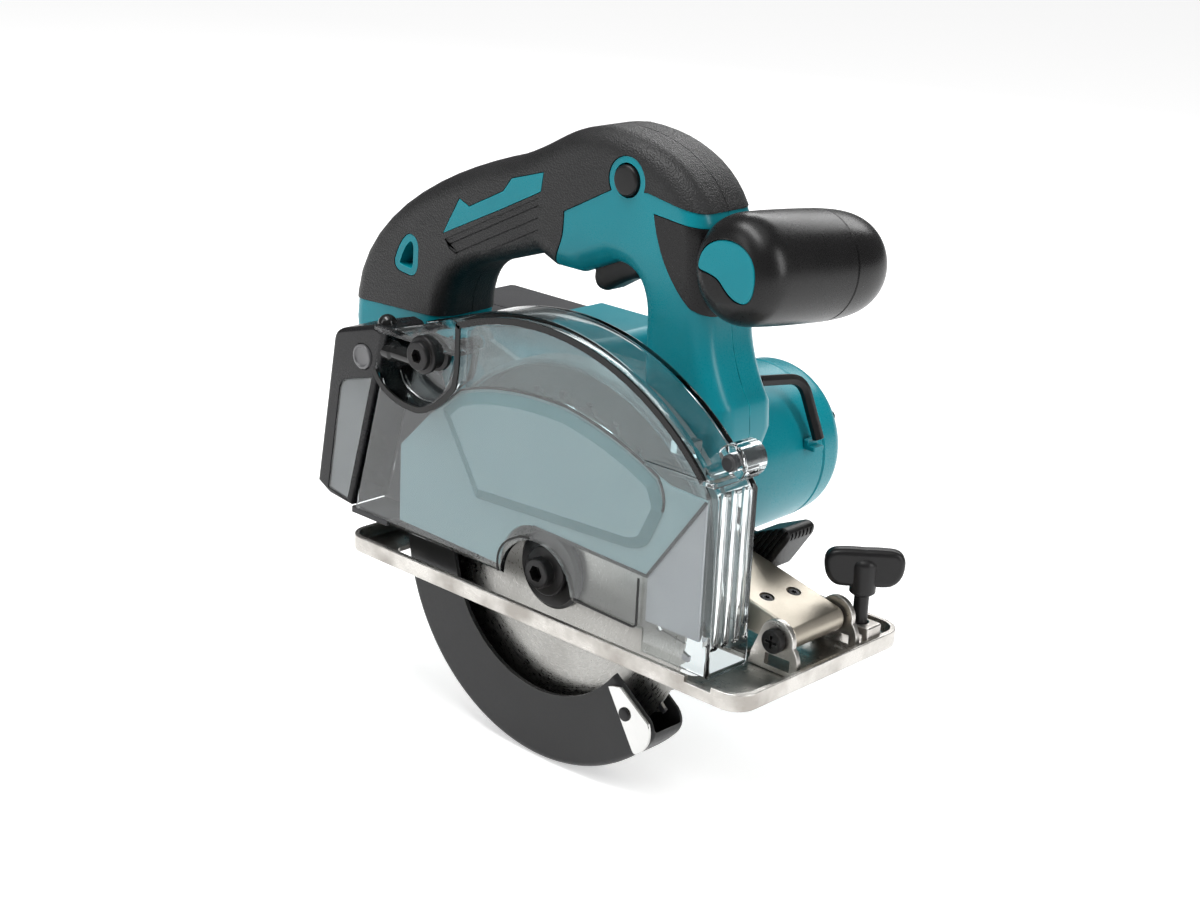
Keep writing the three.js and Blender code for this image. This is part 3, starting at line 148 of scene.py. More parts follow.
def spread(tree, value, low, high, to_low, to_high):
    """The value, stretched from low..high to to_low..to_high and held there."""
    limits = {"Value": value, "From Min": low, "From Max": high, "To Min": to_low, "To Max": to_high}
    return add(tree, "ShaderNodeMapRange", limits).outputs[0]


def blend_colour(tree, share, first, second):
    mixed = add(tree, "ShaderNodeMix", data_type="RGBA")
    for socket, value in ((mixed.inputs[0], share), (mixed.inputs[6], first), (mixed.inputs[7], second)):
        if isinstance(value, bpy.types.NodeSocket):
            tree.links.new(value, socket)
        else:
            socket.default_value = value
    return mixed.outputs[2]


def finish(name, colour, shade, rough, metal=0.0, cloud=28.0, grain=1500.0, depth=0.06,
           stretch=(1, 1, 1), wear_and_highlight=None, edge=0.5, pits=0.0, coat=0.0):
    """A moulded, painted or ground surface: cloudy colour, uneven gloss, fine grain, and edges tinted
    towards a second colour, which is wear on some finishes and a painted highlight on the teal nylon.
    """
    material = bpy.data.materials.new(name)
    material.use_nodes = True
    tree = material.node_tree
    shader = tree.nodes["Principled BSDF"]
    shader.inputs["Metallic"].default_value = metal
    shader.inputs["Coat Weight"].default_value = coat
    shader.inputs["Coat Roughness"].default_value = 0.12
    shader.inputs["Specular IOR Level"].default_value = 0.5 if metal else 0.26
    place = add(tree, "ShaderNodeTexCoord").outputs["Object"]
    lain = add(tree, "ShaderNodeMapping", {"Vector": place, "Scale": stretch}).outputs[0]
    clouds = add(tree, "ShaderNodeTexNoise", {"Vector": place, "Scale": cloud, "Detail": 5.0}).outputs[0]
    fine = add(tree, "ShaderNodeTexNoise", {"Vector": lain, "Scale": grain, "Detail": 3.0}).outputs[0]
    tint = blend_colour(tree, spread(tree, clouds, 0.35, 0.65, 0.0, 1.0), (*colour, 1), (*shade, 1))
    uneven = add(tree, "ShaderNodeMath", {0: clouds, 1: fine}, operation="ADD").outputs[0]
    gloss = spread(tree, uneven, 0.75, 1.25, rough[0], rough[1])
    # Edges and patches along them lean towards a second colour: real wear on metals and paint, a painted
    # highlight on the teal nylon.
    if wear_and_highlight:
        bent = add(tree, "ShaderNodeBevel", {"Radius": edge * MM}, samples=4).outputs[0]
        true = add(tree, "ShaderNodeNewGeometry").outputs["Normal"]
        flat = add(tree, "ShaderNodeVectorMath", {0: bent, 1: true},
                   operation="DOT_PRODUCT").outputs["Value"]
        rub = add(tree, "ShaderNodeTexNoise", {"Vector": place, "Scale": 160.0, "Detail": 6.0}).outputs[0]
        edges = spread(tree, flat, 0.99, 0.9, 0.0, 1.0)
        patches = spread(tree, rub, 0.42, 0.62, 0.0, 1.0)
        wear_and_highlight_mask = add(tree, "ShaderNodeMath", {0: edges, 1: patches}, operation="MULTIPLY").outputs[0]
        tint = blend_colour(tree, wear_and_highlight_mask, tint, (*wear_and_highlight, 1))
    if pits:
        cells = add(tree, "ShaderNodeTexVoronoi", {"Vector": lain, "Scale": pits}).outputs[0]
        fine = add(tree, "ShaderNodeMath", {0: spread(tree, cells, 0.0, 0.7, 0.0, 1.0), 1: fine},
                   operation="ADD").outputs[0]
    bump = add(tree, "ShaderNodeBump", {"Strength": 1.0, "Distance": depth * MM, "Height": fine})
    tree.links.new(tint, shader.inputs["Base Color"])
    tree.links.new(gloss, shader.inputs["Roughness"])
    tree.links.new(bump.outputs[0], shader.inputs["Normal"])
    return material


def trace(start, *moves, steps=12):
    """The corners of a line through straight moves (x, z) and curved ones (control points, end)."""
    points = [Vector(start)]
    for move in moves:
        if not isinstance(move[0], tuple):
            points.append(Vector(move))
            continue
        held = [points[-1]] + [Vector(p) for p in move]
        for k in range(1, steps + 1):
            rest = list(held)
            while len(rest) > 1:
                rest = [a.lerp(b, k / steps) for a, b in zip(rest, rest[1:])]
            points.append(rest[0])
    return points


def arc(x, z, radius, start, end, steps=32):
    turns = [math.radians(start + (end - start) * k / steps) for k in range(steps + 1)]
    return [Vector((x + radius * math.cos(t), z + radius * math.sin(t))) for t in turns]


def shrunk(points, amount):
    """A closed outline drawn in by an amount, with the solid on its left."""
    drawn = []
    for k, point in enumerate(points):
        before = (point - points[k - 1]).normalized()
        after = (points[(k + 1) % len(points)] - point).normalized()
        first, second = Vector((-before.y, before.x)), Vector((-after.y, after.x))
        drawn.append(point + (first + second) * (amount / max(0.3, 1 + first.dot(second))))
    return drawn


def edge_steps(radius, steps):
    """(inset, depth) pairs down a rounded edge, from its flat face to its side."""
    if not radius:
        return [(0.0, 0.0)]
    turns = [math.pi / 2 * k / steps for k in range(steps + 1)]
    return [(radius * (1 - math.sin(t)), radius * (1 - math.cos(t))) for t in turns]


def solid(name, points, faces):
    """A closed mesh from corners in millimetres, with its faces turned outwards."""
    mesh = bpy.data.meshes.new(name)
    mesh.from_pydata([Vector(p) * MM for p in points], [], faces)
    shell = bmesh.new()
    shell.from_mesh(mesh)
    bmesh.ops.remove_doubles(shell, verts=shell.verts, dist=1e-6)
    bmesh.ops.recalc_face_normals(shell, faces=shell.faces)
    shell.to_mesh(mesh)
    shell.free()
    return link(name, mesh)


def plate(name, loops, near, far, near_round=0.0, far_round=0.0, inset=0.0, steps=5):
    """A side-view outline with its holes, from near to far across the saw, with rounded edges."""
    loops = [[Vector(p) for p in loop] for loop in loops]
    stations = [(i, near + d) for i, d in edge_steps(near_round, steps)]
    stations += [(i, far - d) for i, d in reversed(edge_steps(far_round, steps))]
    points, faces = [], []
    count = sum(len(loop) for loop in loops)
    for draw, y in stations:
        for loop in loops:
            points += [(p.x, y, p.y) for p in shrunk(loop, inset + draw)]
    for row in range(len(stations) - 1):
        start = row * count
        for loop in loops:
            for k in range(len(loop)):
                a, b = start + k, start + (k + 1) % len(loop)
                faces.append((a, a + count, b + count, b))
            start += len(loop)
    for first, draw in ((0, stations[0][0]), (count * (len(stations) - 1), stations[-1][0])):
        flat = [[p.to_3d() for p in shrunk(loop, inset + draw)] for loop in loops]
        faces += [tuple(first + k for k in corner) for corner in tessellate_polygon(flat)]
    return solid(name, points, faces)


def disc(name, radius, near, far, x=0.0, z=0.0, near_round=0.0, far_round=0.0, sides=48):
    return plate(name, [arc(x, z, radius, 0, 360, sides)[:-1]], near, far, near_round, far_round, steps=3)


def brick(name, x0, x1, y0, y1, z0, z1, rounding=0.0):
    return plate(name, [[(x0, z0), (x1, z0), (x1, z1), (x0, z1)]], y0, y1, rounding, rounding, steps=3)


def discard(*pieces):
    for piece in pieces:
        mesh = piece.data
        bpy.data.objects.remove(piece)
        bpy.data.meshes.remove(mesh)


def settle(piece):
    """The piece's modifiers, made part of its mesh."""
    graph = bpy.context.evaluated_depsgraph_get()
    mesh = bpy.data.meshes.new_from_object(piece.evaluated_get(graph))
    old = piece.data
    piece.modifiers.clear()
    piece.data = mesh
    bpy.data.meshes.remove(old)
    return piece


def carve(piece, *tools, how="DIFFERENCE"):
    """Cuts, joins or trims a piece with other solids, which are then thrown away."""
    for tool in tools:
        step = piece.modifiers.new("carve", "BOOLEAN")
        step.operation = how
        step.object = tool
        step.solver = "EXACT"
    settle(piece)
    discard(*tools)
    return piece


def joined(piece, *others):
    """The solids as one mesh, left as they are where they meet."""
    shell = bmesh.new()
    for each in (piece, *others):
        shell.from_mesh(each.data)
    shell.to_mesh(piece.data)
    shell.free()
    discard(*others)
    return piece


def dress(piece, material, soften=0.0, crease=32.0, segments=2):
    """Breaks a piece's sharp edges, shades it and gives it its finish."""
    shell = bmesh.new()
    shell.from_mesh(piece.data)
    bmesh.ops.remove_doubles(shell, verts=shell.verts, dist=2e-5)
    bmesh.ops.dissolve_degenerate(shell, edges=shell.edges, dist=1e-5)
    bmesh.ops.delete(shell, geom=[edge for edge in shell.edges if not edge.link_faces], context="EDGES")
    shell.to_mesh(piece.data)
    shell.free()
    if soften:
        bevel = piece.modifiers.new("soften", "BEVEL")
        bevel.width = soften * MM
        bevel.segments = segments
        bevel.limit_method = "ANGLE"
        bevel.angle_limit = math.radians(crease + 5)
        bevel.miter_outer = "MITER_ARC"
        settle(piece)
    piece.data.shade_smooth()
    piece.data.set_sharp_from_angle(angle=math.radians(crease))
    even = piece.modifiers.new("even", "WEIGHTED_NORMAL")
    even.keep_sharp = True
    settle(piece)
    piece.data.materials.clear()
    piece.data.materials.append(material)
    piece.data.polygons.foreach_set("material_index", [0] * len(piece.data.polygons))
    return piece


def turned(angle, axis):
    return Matrix.Rotation(math.radians(angle), 4, axis)


def moved(piece, place, turn=Matrix.Identity(4)):
    """The piece turned about the origin, then carried to a place in millimetres."""
    piece.data.transform(Matrix.Translation(Vector(place) * MM) @ turn)
    return piece


def fit(piece, body, slot, *nodes):
    """The piece moves with a body and stands for CAD nodes, which are hidden; the slot argument is not
    used.
    """
    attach(piece, body)
    if nodes:
        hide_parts(*nodes)
    return piece


def cad(node):
    """The lowest and highest corners of a CAD node, in millimetres."""
    low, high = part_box(node)
    return Vector(low) / MM, Vector(high) / MM


HANDLE_NEAR = cad("grip_skin_left")[0].y
HANDLE_FAR = cad("grip_skin_right")[1].y
HANDLE_MIDDLE = (HANDLE_NEAR + HANDLE_FAR) / 2
HANDLE_ROUND = 9
SEAM = 0.14
SKIN_STEP = 0.35
MOTOR_Z = 45.6
MOTOR_SPACE = 38.5
KNOB_CENTRE = (72, 20, 150)
KNOB_TURN = turned(-5, "X") @ turned(-4, "Z")

handle_edge = trace(
    (-138, 22), (-118, 22), (-114, 9.5), (-92, 9.5), (-88, 22), (-42, 22), (-38, MOTOR_Z), (38, MOTOR_Z),
    (50, 52), (60, 66), (66, 84), (65, 95), ((54, 110), (53, 130)), (51, 160),
    ((46, 182), (24, 194), (-4, 194)), ((-26, 192), (-30, 184), (-52, 175.5)),
    ((-84, 166), (-146, 142), (-152, 99)), (-153, 87), (-146, 30))
hand_gap = trace(
    (-92, 96), ((-92, 122), (-78, 124), (-60, 129.5)), (-38, 137), (-28, 133), (-16, 133), (2, 141),
    ((19, 142), (20, 124)), (21, 96))
grip_area = trace(
    (-170, 95), (-60, 100), ((-50, 120), (-33, 128)), ((-25, 138), (-22.5, 148)),
    ((-21.8, 154), (-22, 158)), (3, 171), (22, 173), (56, 167), (70, 210), (-170, 210), steps=6)
pillar_area = trace((25.5, 165.5), ((28, 154), (33, 142), (46, 132.5)), (55, 128.5), (70, 126), (70, 161),
                    steps=10)
BUTTON = (11, 176)
strap_rim = trace((-122.4, 119), ((-123, 114.5), (-118, 114)), (-112.5, 113.4),
                  ((-108.4, 113.6), (-107.8, 119)), (-107.6, 126), ((-108.4, 132), (-113.6, 131.4)),
                  ((-118.5, 129.5), (-122.4, 119)), steps=6)[:-1]
strap_bore = shrunk(strap_rim, 3.1)


def handle_form(name, near_side, inset=0.0):
    """One half of the handle's form, drawn in everywhere by an inset."""
    if near_side:
        return plate(name, [handle_edge, hand_gap], HANDLE_NEAR + inset, HANDLE_MIDDLE - SEAM,
                     HANDLE_ROUND, 0.0, inset, steps=8)
    return plate(name, [handle_edge, hand_gap], HANDLE_MIDDLE + SEAM, HANDLE_FAR - inset,
                 0.0, HANDLE_ROUND, inset, steps=8)


def through(name, area, grow=0.0):
    """A side-view area as a solid right through the handle."""
    return plate(name, [area], HANDLE_NEAR - 6, HANDLE_FAR + 6, inset=-grow)


def wrapped_area(name, area, grow, ring_radius):
    """The grip's area without the ring round the lock-off button."""
    region = through(name, area, grow)
    return carve(region, disc("ring", ring_radius, HANDLE_NEAR - 8, HANDLE_FAR + 8, *BUTTON))


# The lighter teal given to the edges here is a painted highlight, not wear.
teal_plastic = finish("teal_nylon", (0.002, 0.215, 0.262), (0.0018, 0.19, 0.235), (0.24, 0.36),
                      grain=2600, depth=0.012, wear_and_highlight=(0.01, 0.42, 0.5), edge=0.6)
trigger_low, trigger_high = cad("trigger")


def trigger_slot():
    return brick("trigger_slot", -16.5, 15, trigger_low.y - 0.7, trigger_high.y + 0.7, 118, 158)


for side, near_side in (("left", True), ("right", False)):
    shell = handle_form("housing_" + side, near_side, SKIN_STEP)
    carve(shell, wrapped_area("grip_cut", grip_area, 0.15, 9.3), through("pillar_cut", pillar_area, 0.15))
    tools = [disc("button_hole", 6.9, HANDLE_NEAR - 8, HANDLE_FAR + 8, *BUTTON),
             trigger_slot(),
             disc("motor_space", MOTOR_SPACE, 9, HANDLE_FAR + 5, 0, MOTOR_Z)]
    knob_seat = disc("knob_seat", 22.7, -60, 60)
    carve(shell, *tools, moved(knob_seat, KNOB_CENTRE, KNOB_TURN))
    dress(shell, teal_plastic, 0.6, 40, 3)
    fit(shell, "housing", "teal_plastic", "housing_" + side)

# ==== Grip skins ============================================================================
# Soft black elastomer moulded over the handle. It has a fine stippled face, a ribbed thumb
# panel, and a teal arrow-shaped inlay let into each side.

elastomer = finish("stippled_elastomer", (0.006, 0.006, 0.0065), (0.009, 0.009, 0.0095), (0.36, 0.52),
                   grain=2100, depth=0.16, pits=1300)
elastomer.node_tree.nodes["Principled BSDF"].inputs["Specular IOR Level"].default_value = 0.42
arrow = [(-92, 136), (-56, 153.2), (-35.2, 163.6), (-34, 171.5), (-52, 166), (-56.5, 160), (-76.5, 150),
         (-82.5, 152.3)]
ribbed_panel = [(-91, 133.6), (-88, 129.8), (-76, 125.5), (-36, 146.5), (-36, 161)]
RIB_TILT = 26.5


def geometry_tree(name, inputs):
    """An empty geometry tree with named inputs, and its two end nodes."""
    tree = bpy.data.node_groups.new(name, "GeometryNodeTree")
    tree.interface.new_socket("Geometry", in_out="INPUT", socket_type="NodeSocketGeometry")
    for label, kind in inputs:
        tree.interface.new_socket(label, in_out="INPUT", socket_type="NodeSocket" + kind)
    tree.interface.new_socket("Geometry", in_out="OUTPUT", socket_type="NodeSocketGeometry")
    return tree, tree.nodes.new("NodeGroupInput"), tree.nodes.new("NodeGroupOutput")


def repeated(name, tree, template, spots=(), **settings):
    """The template repeated by a geometry tree, as a plain mesh. The template is thrown away."""
    mesh = bpy.data.meshes.new(name)
    mesh.from_pydata([Vector(spot) * MM for spot in spots], [], [])
    piece = link(name, mesh)
    step = piece.modifiers.new("repeat", "NODES")
    step.node_group = tree
    sockets = {item.name: item.identifier for item in tree.interface.items_tree if item.in_out == "INPUT"}
    step[sockets["Template"]] = template
    for label, value in settings.items():
        step[sockets[label]] = value
    settle(piece)
    discard(template)
    return piece


def finish_tree(tree, start, end, instances):
    real = add(tree, "GeometryNodeRealizeInstances", {"Geometry": instances}).outputs[0]
    faced = add(tree, "GeometryNodeSetMaterial", {"Geometry": real, "Material": start.outputs["Material"]})
    tree.links.new(faced.outputs[0], end.inputs[0])


row_tree, row_in, row_out = geometry_tree(
    "row", [("Template", "Object"), ("Count", "Int"), ("Step", "Vector"), ("Material", "Material")])
row_points = add(row_tree, "GeometryNodeMeshLine", {"Count": row_in.outputs["Count"],
                                                    "Offset": row_in.outputs["Step"]})
row_template = add(row_tree, "GeometryNodeObjectInfo", {"Object": row_in.outputs["Template"]})
row_copies = add(row_tree, "GeometryNodeInstanceOnPoints",
                 {"Points": row_points.outputs[0], "Instance": row_template.outputs["Geometry"]})
finish_tree(row_tree, row_in, row_out, row_copies.outputs[0])

ring_tree, ring_in, ring_out = geometry_tree(
    "ring", [("Template", "Object"), ("Count", "Int"), ("Turn", "Float"), ("Start", "Float"),
             ("Centre", "Vector"), ("Axis", "Vector"), ("Material", "Material")])
ring_points = add(ring_tree, "GeometryNodeMeshLine",
                  {"Count": ring_in.outputs["Count"], "Offset": (0, 0, 0)})
ring_index = add(ring_tree, "GeometryNodeInputIndex").outputs[0]
ring_angle = add(ring_tree, "ShaderNodeMath", {0: ring_index, 1: ring_in.outputs["Turn"],
                                               2: ring_in.outputs["Start"]},
                 operation="MULTIPLY_ADD").outputs[0]
ring_template = add(ring_tree, "GeometryNodeObjectInfo", {"Object": ring_in.outputs["Template"]})
ring_shift = add(ring_tree, "GeometryNodeSetPosition",
                 {"Geometry": ring_points.outputs[0], "Position": ring_in.outputs["Centre"]})
ring_rotation = add(ring_tree, "FunctionNodeAxisAngleToRotation",
                    {"Axis": ring_in.outputs["Axis"], "Angle": ring_angle})
ring_copies = add(ring_tree, "GeometryNodeInstanceOnPoints",
                  {"Points": ring_shift.outputs[0], "Instance": ring_template.outputs["Geometry"],
                   "Rotation": ring_rotation.outputs[0]})
finish_tree(ring_tree, ring_in, ring_out, ring_copies.outputs[0])


def rowed(name, template, count, step, material):
    """The template repeated in a straight row, by a step in millimetres."""
    return repeated(name, row_tree, template, Count=count, Step=tuple(Vector(step) * MM), Material=material)


def ringed(name, template, count, turn, start, centre, material):
    """The template repeated round a side-view centre, by turns in degrees."""
    place = (centre[0] * MM, 0, centre[1] * MM)
    return repeated(name, ring_tree, template, Count=count, Turn=math.radians(turn),
                    Start=math.radians(start), Centre=place, Axis=(0, 1, 0), Material=material)


for side, near_side in (("left", True), ("right", False)):
    face = HANDLE_NEAR if near_side else HANDLE_FAR
    inward = 1 if near_side else -1
    skin = handle_form("grip_skin_" + side, near_side)
    carve(skin, wrapped_area("grip_keep", grip_area, -0.12, 9.6), how="INTERSECT")
    span = sorted((face - 5 * inward, face + 2.6 * inward))
    inlay = handle_form("grip_arrow_" + side, near_side, 0.05)
    carve(inlay, plate("arrow_keep", [arrow], *span), how="INTERSECT")
    carve(skin, plate("arrow_cut", [arrow], *span, inset=-0.3))
    rim = handle_form("strap_rim_" + side, near_side, 0.2)
    carve(rim, through("rim_keep", strap_rim), how="INTERSECT")
    carve(rim, through("bore", strap_bore))
    panel = sorted((face - 5 * inward, face + 0.45 * inward))
    carve(skin, through("rim_cut", strap_rim, 0.3),
          trigger_slot(),
          plate("panel_cut", [ribbed_panel], *panel))
    groove = sorted((face - 5 * inward, face + 1.1 * inward))
    line = plate("line", [[(-34, -0.28), (34, -0.28), (34, 0.28), (-34, 0.28)]], *groove)
    moved(line, (-62.5, 0, 134.5), turned(-RIB_TILT, "Y"))
    lines = rowed("lines", line, 4, (-1.9, 0, 4.1), elastomer)
    carve(lines, plate("line_keep", [ribbed_panel], -40, 60), how="INTERSECT")
    carve(skin, lines)
    dress(skin, elastomer, 0.3, 42)
    dress(inlay, teal_plastic, 0.35, 40)
    dress(rim, teal_plastic, 0.3, 40)
    fit(skin, "housing", "black_elastomer", "grip_skin_" + side)
    fit(inlay, "housing", "teal_plastic")
    fit(rim, "housing", "teal_plastic")

# ==== Pillar skin, lock-off button and trigger ==============================================
# A smoother black skin wraps the front of the pillar. The round lock-off button stands out
# on both sides, and the curved trigger hangs in its slot under the switch.

skin_plastic = finish("smooth_elastomer", (0.007, 0.0066, 0.007), (0.010, 0.0096, 0.010), (0.24, 0.34),
                      grain=1800, depth=0.02)
front_skins = []
for near_side in (True, False):
    half = handle_form("pillar_skin", near_side, 0.08)
    front_skins.append(carve(half, through("pillar_keep", pillar_area, -0.12), how="INTERSECT"))
pillar_skin = joined(*front_skins)
pillar_skin.name = "pillar_skin_wrap"
dress(pillar_skin, skin_plastic, 0.3, 42)
fit(pillar_skin, "housing", "black_elastomer", "pillar_skin")

button_plastic = finish("button_nylon", (0.008, 0.0078, 0.008), (0.012, 0.0115, 0.012), (0.28, 0.42),
                        grain=2400, depth=0.015)
button_low, button_high = cad("lock_off_button")
button = disc("lock_off_press", 6.2, button_low.y, button_high.y, *BUTTON, 1.2, 1.2)
dress(button, button_plastic)
fit(button, "lock_off_button", "black_plastic", "lock_off_button")

trigger_edge = trace((-14, 146), (-15, 131), ((-14, 125.5), (-8, 126.5)), ((-2, 130), (3, 133.5), (9, 135)),
                     ((12.5, 137), (13, 141)), (12, 146), steps=8)
trigger = plate("trigger_lever", [trigger_edge], trigger_low.y, trigger_high.y, 2.5, 2.5, steps=5)
dress(trigger, button_plastic)
fit(trigger, "trigger", "black_plastic", "trigger")

# ==== Front grip ============================================================================
# A barrel-shaped knob across the front of the pillar, in two black mouldings with a seam two
# thirds of the way along, and a teal badge field without lettering let into its near end.


def lathe(name, profile, sides=72):
    """A closed form turned about the Y axis, from (radius, y) points that start and end on it."""
    points, faces, rings = [], [], []
    for radius, y in profile:
        rings.append(len(points))
        turns = [math.tau * k / sides for k in range(sides)] if radius > 1e-6 else [0.0]
        points += [(radius * math.cos(t), y, radius * math.sin(t)) for t in turns]
    for a, b, (ra, _), (rb, _) in zip(rings, rings[1:], profile, profile[1:]):
        for k in range(sides):
            n = (k + 1) % sides
            if ra <= 1e-6:
                faces.append((a, b + k, b + n))
            elif rb <= 1e-6:
                faces.append((a + k, b, a + n))
            else:
                faces.append((a + k, b + k, b + n, a + n))
    return solid(name, points, faces)


KNOB_HALF = 38
KNOB_SEAM = 12
near_curve = trace((0, -KNOB_HALF + 0.4), (12, -KNOB_HALF), ((16.5, -37.6), (20.6, -34), (21.4, -27)),
                   ((22, -18), (22.1, -4), (21.9, KNOB_SEAM - 0.6)), (21.5, KNOB_SEAM - 0.15),
                   (0, KNOB_SEAM - 0.15), steps=14)
far_curve = trace((0, KNOB_SEAM + 0.15), (21.4, KNOB_SEAM + 0.15), (21.8, KNOB_SEAM + 0.6),
                  ((21.4, 24), (20, 32), (15.5, 36)), ((12, 38), (8, KNOB_HALF), (0, KNOB_HALF)), steps=14)
knob_rubber = finish("knob_elastomer", (0.007, 0.0068, 0.007), (0.010, 0.0098, 0.010), (0.24, 0.36),
                     grain=2000, depth=0.03)
badge_edge = trace((-13.4, -2.2), ((-9.5, -3), (-6, -2.6), (-2.5, -5.2)),
                   ((1.5, -8.6), (5, -11), (9.4, -10.6)), ((13.6, -10), (14.6, -4), (14, 0.5)),
                   ((13, 7.5), (7, 11.2), (0, 11.2)), ((-8, 11.2), (-13.6, 7), (-14.6, 1.6)),
                   ((-15, -0.6), (-14.8, -2), (-13.4, -2.2)), steps=10)[:-1]
knob_near = lathe("front_grip_barrel", near_curve)
carve(knob_near, plate("badge_seat", [badge_edge], -KNOB_HALF - 1, -KNOB_HALF + 1.6, inset=-0.3))
knob_far = lathe("front_grip_end", far_curve)
badge = plate("front_grip_badge", [badge_edge], -KNOB_HALF + 0.35, -KNOB_HALF + 1.6, 0.6, 0.0, steps=4)
for piece, material, slot, node, softness in (
        (knob_near, knob_rubber, "black_elastomer", "front_grip", 0.3),
        (knob_far, knob_rubber, "black_plastic", "front_grip_cap", 0.0),
        (badge, teal_plastic, "teal_plastic", "front_grip_inlay", 0.0)):
    moved(piece, KNOB_CENTRE, KNOB_TURN)
    dress(piece, material, softness, 40)
    fit(piece, "housing", slot, node)

# ==== Motor housing and end cover ===========================================================
# A teal tube across the saw holds the brushless motor. Its end cover is chamfered, has a ring
# of air slots, and is held by small screws; a clip on the tube holds the hex key.

motor_low, motor_high = cad("motor_housing")
cover_low, cover_high = cad("motor_end_cover")
MOTOR_RADIUS = 38
tube_profile = trace((0, motor_low.y), (36.5, motor_low.y), (MOTOR_RADIUS, motor_low.y + 1.5),
                     (MOTOR_RADIUS, 30), ((MOTOR_RADIUS, 32.5), (36.9, 33)), (36.6, 60),
                     (36, motor_high.y - 0.8), (35.2, motor_high.y), (33.5, motor_high.y),
                     (33.5, motor_low.y + 2.5), (0, motor_low.y + 2.5), steps=5)
motor_tube = lathe("motor_tube", tube_profile, 96)
moved(motor_tube, (0, 0, MOTOR_Z))
clip = carve(brick("clip", 35, 41, 84, 91, MOTOR_Z + 7.5, MOTOR_Z + 12, 0.8),
             brick("clip_bore", 37.4, 43, 82, 93, MOTOR_Z + 9.4, MOTOR_Z + 14))
carve(motor_tube, clip, how="UNION")
tube_slot = plate("slot", [trace((20, -1), ((18.6, 0), (20, 1)), (45, 1), (45, -1), steps=5)], 64, 84)
tube_slots = ringed("tube_slots", tube_slot, 9, 8, 60, (0, MOTOR_Z), teal_plastic)
carve(motor_tube, tube_slots)
dress(motor_tube, teal_plastic, 0.25, 30)
fit(motor_tube, "housing", "teal_plastic", "motor_housing")

cap_profile = trace((0, cover_low.y + 2), (33.3, cover_low.y + 2), (33.3, cover_low.y), (35.2, cover_low.y),
                    (36, cover_low.y + 0.8), (35.3, cover_high.y - 8),
                    ((34.8, cover_high.y - 4), (32.2, cover_high.y - 0.6), (28, cover_high.y)),
                    (0, cover_high.y), steps=8)
motor_cap = lathe("motor_cap", cap_profile, 96)
moved(motor_cap, (0, 0, MOTOR_Z))
cap_slot = plate("slot", [trace((11, -1.1), (26, -1.1), ((27.6, 0), (26, 1.1)), (11, 1.1),
                                ((9.6, 0), (11, -1.1)), steps=5)[:-1]],
                 cover_high.y - 3, cover_high.y + 1)
cap_slots = ringed("cap_slots", cap_slot, 18, 20, 0, (0, MOTOR_Z), teal_plastic)
carve(motor_cap, cap_slots)
dress(motor_cap, teal_plastic, 0.25, 30)
fit(motor_cap, "housing", "teal_plastic", "motor_end_cover")

# ==== Screws ================================================================================
# Black thread-forming screws with flat heads and star recesses hold the clamshell from the
# motor side, and three more hold the motor's end cover.

black_screw = finish("black_screw", (0.012, 0.012, 0.013), (0.02, 0.02, 0.022), (0.3, 0.45), metal=0.7,
                     grain=2500, wear_and_highlight=(0.2, 0.2, 0.2), edge=0.2)
spot_tree, spot_in, spot_out = geometry_tree("spots", [("Template", "Object"), ("Material", "Material")])
spot_template = add(spot_tree, "GeometryNodeObjectInfo", {"Object": spot_in.outputs["Template"]})
spot_points = add(spot_tree, "GeometryNodeMeshToPoints", {"Mesh": spot_in.outputs["Geometry"]})
spot_copies = add(spot_tree, "GeometryNodeInstanceOnPoints",
                  {"Points": spot_points.outputs[0], "Instance": spot_template.outputs["Geometry"]})
finish_tree(spot_tree, spot_in, spot_out, spot_copies.outputs[0])


def screw(name, radius, near_side=True, recess=1.5, height=1.6):
    """A screw head with a star recess, facing the blade side or the motor side."""
    head = lathe(name, trace((0, 0), (radius * 0.75, 0), ((radius, 0.1), (radius, 0.6)), (radius, height),
                             (0, height), steps=4), 28)
    star = [Vector((math.cos(t), math.sin(t))) * (recess if k % 2 else recess * 0.62)
            for k, t in enumerate(math.tau * k / 12 for k in range(12))]
    carve(head, plate("recess", [star], -0.5, height * 0.6))
    if not near_side:
        moved(head, (0, 0, 0), turned(180, "Z"))
    return head


shell_spots = [(x, HANDLE_FAR - 0.5, z) for x, z in
               ((-128, 100), (-62, 150), (40, 150), (44, 104), (-20, 181), (-102, 16))]
shell_screws = repeated("handle_screws", spot_tree, screw("screw", 3.4, False), shell_spots,
                        Material=black_screw)
dress(shell_screws, black_screw)
fit(shell_screws, "housing", "black_steel")
cap_spots = [(31 * math.cos(t), cover_high.y - 2.2, MOTOR_Z + 31 * math.sin(t)) for t in (0.5, 2.6, 4.7)]
cap_screws = repeated("motor_cap_screws", spot_tree, screw("screw", 2.6, False, 1.2), cap_spots,
                      Material=black_screw)
dress(cap_screws, black_screw)
fit(cap_screws, "housing", "black_steel")

# ==== Hex key ===============================================================================
# The blade bolt's key, bent from black hexagonal bar, is pushed into a clip on the motor and
# runs up and over to the housing.


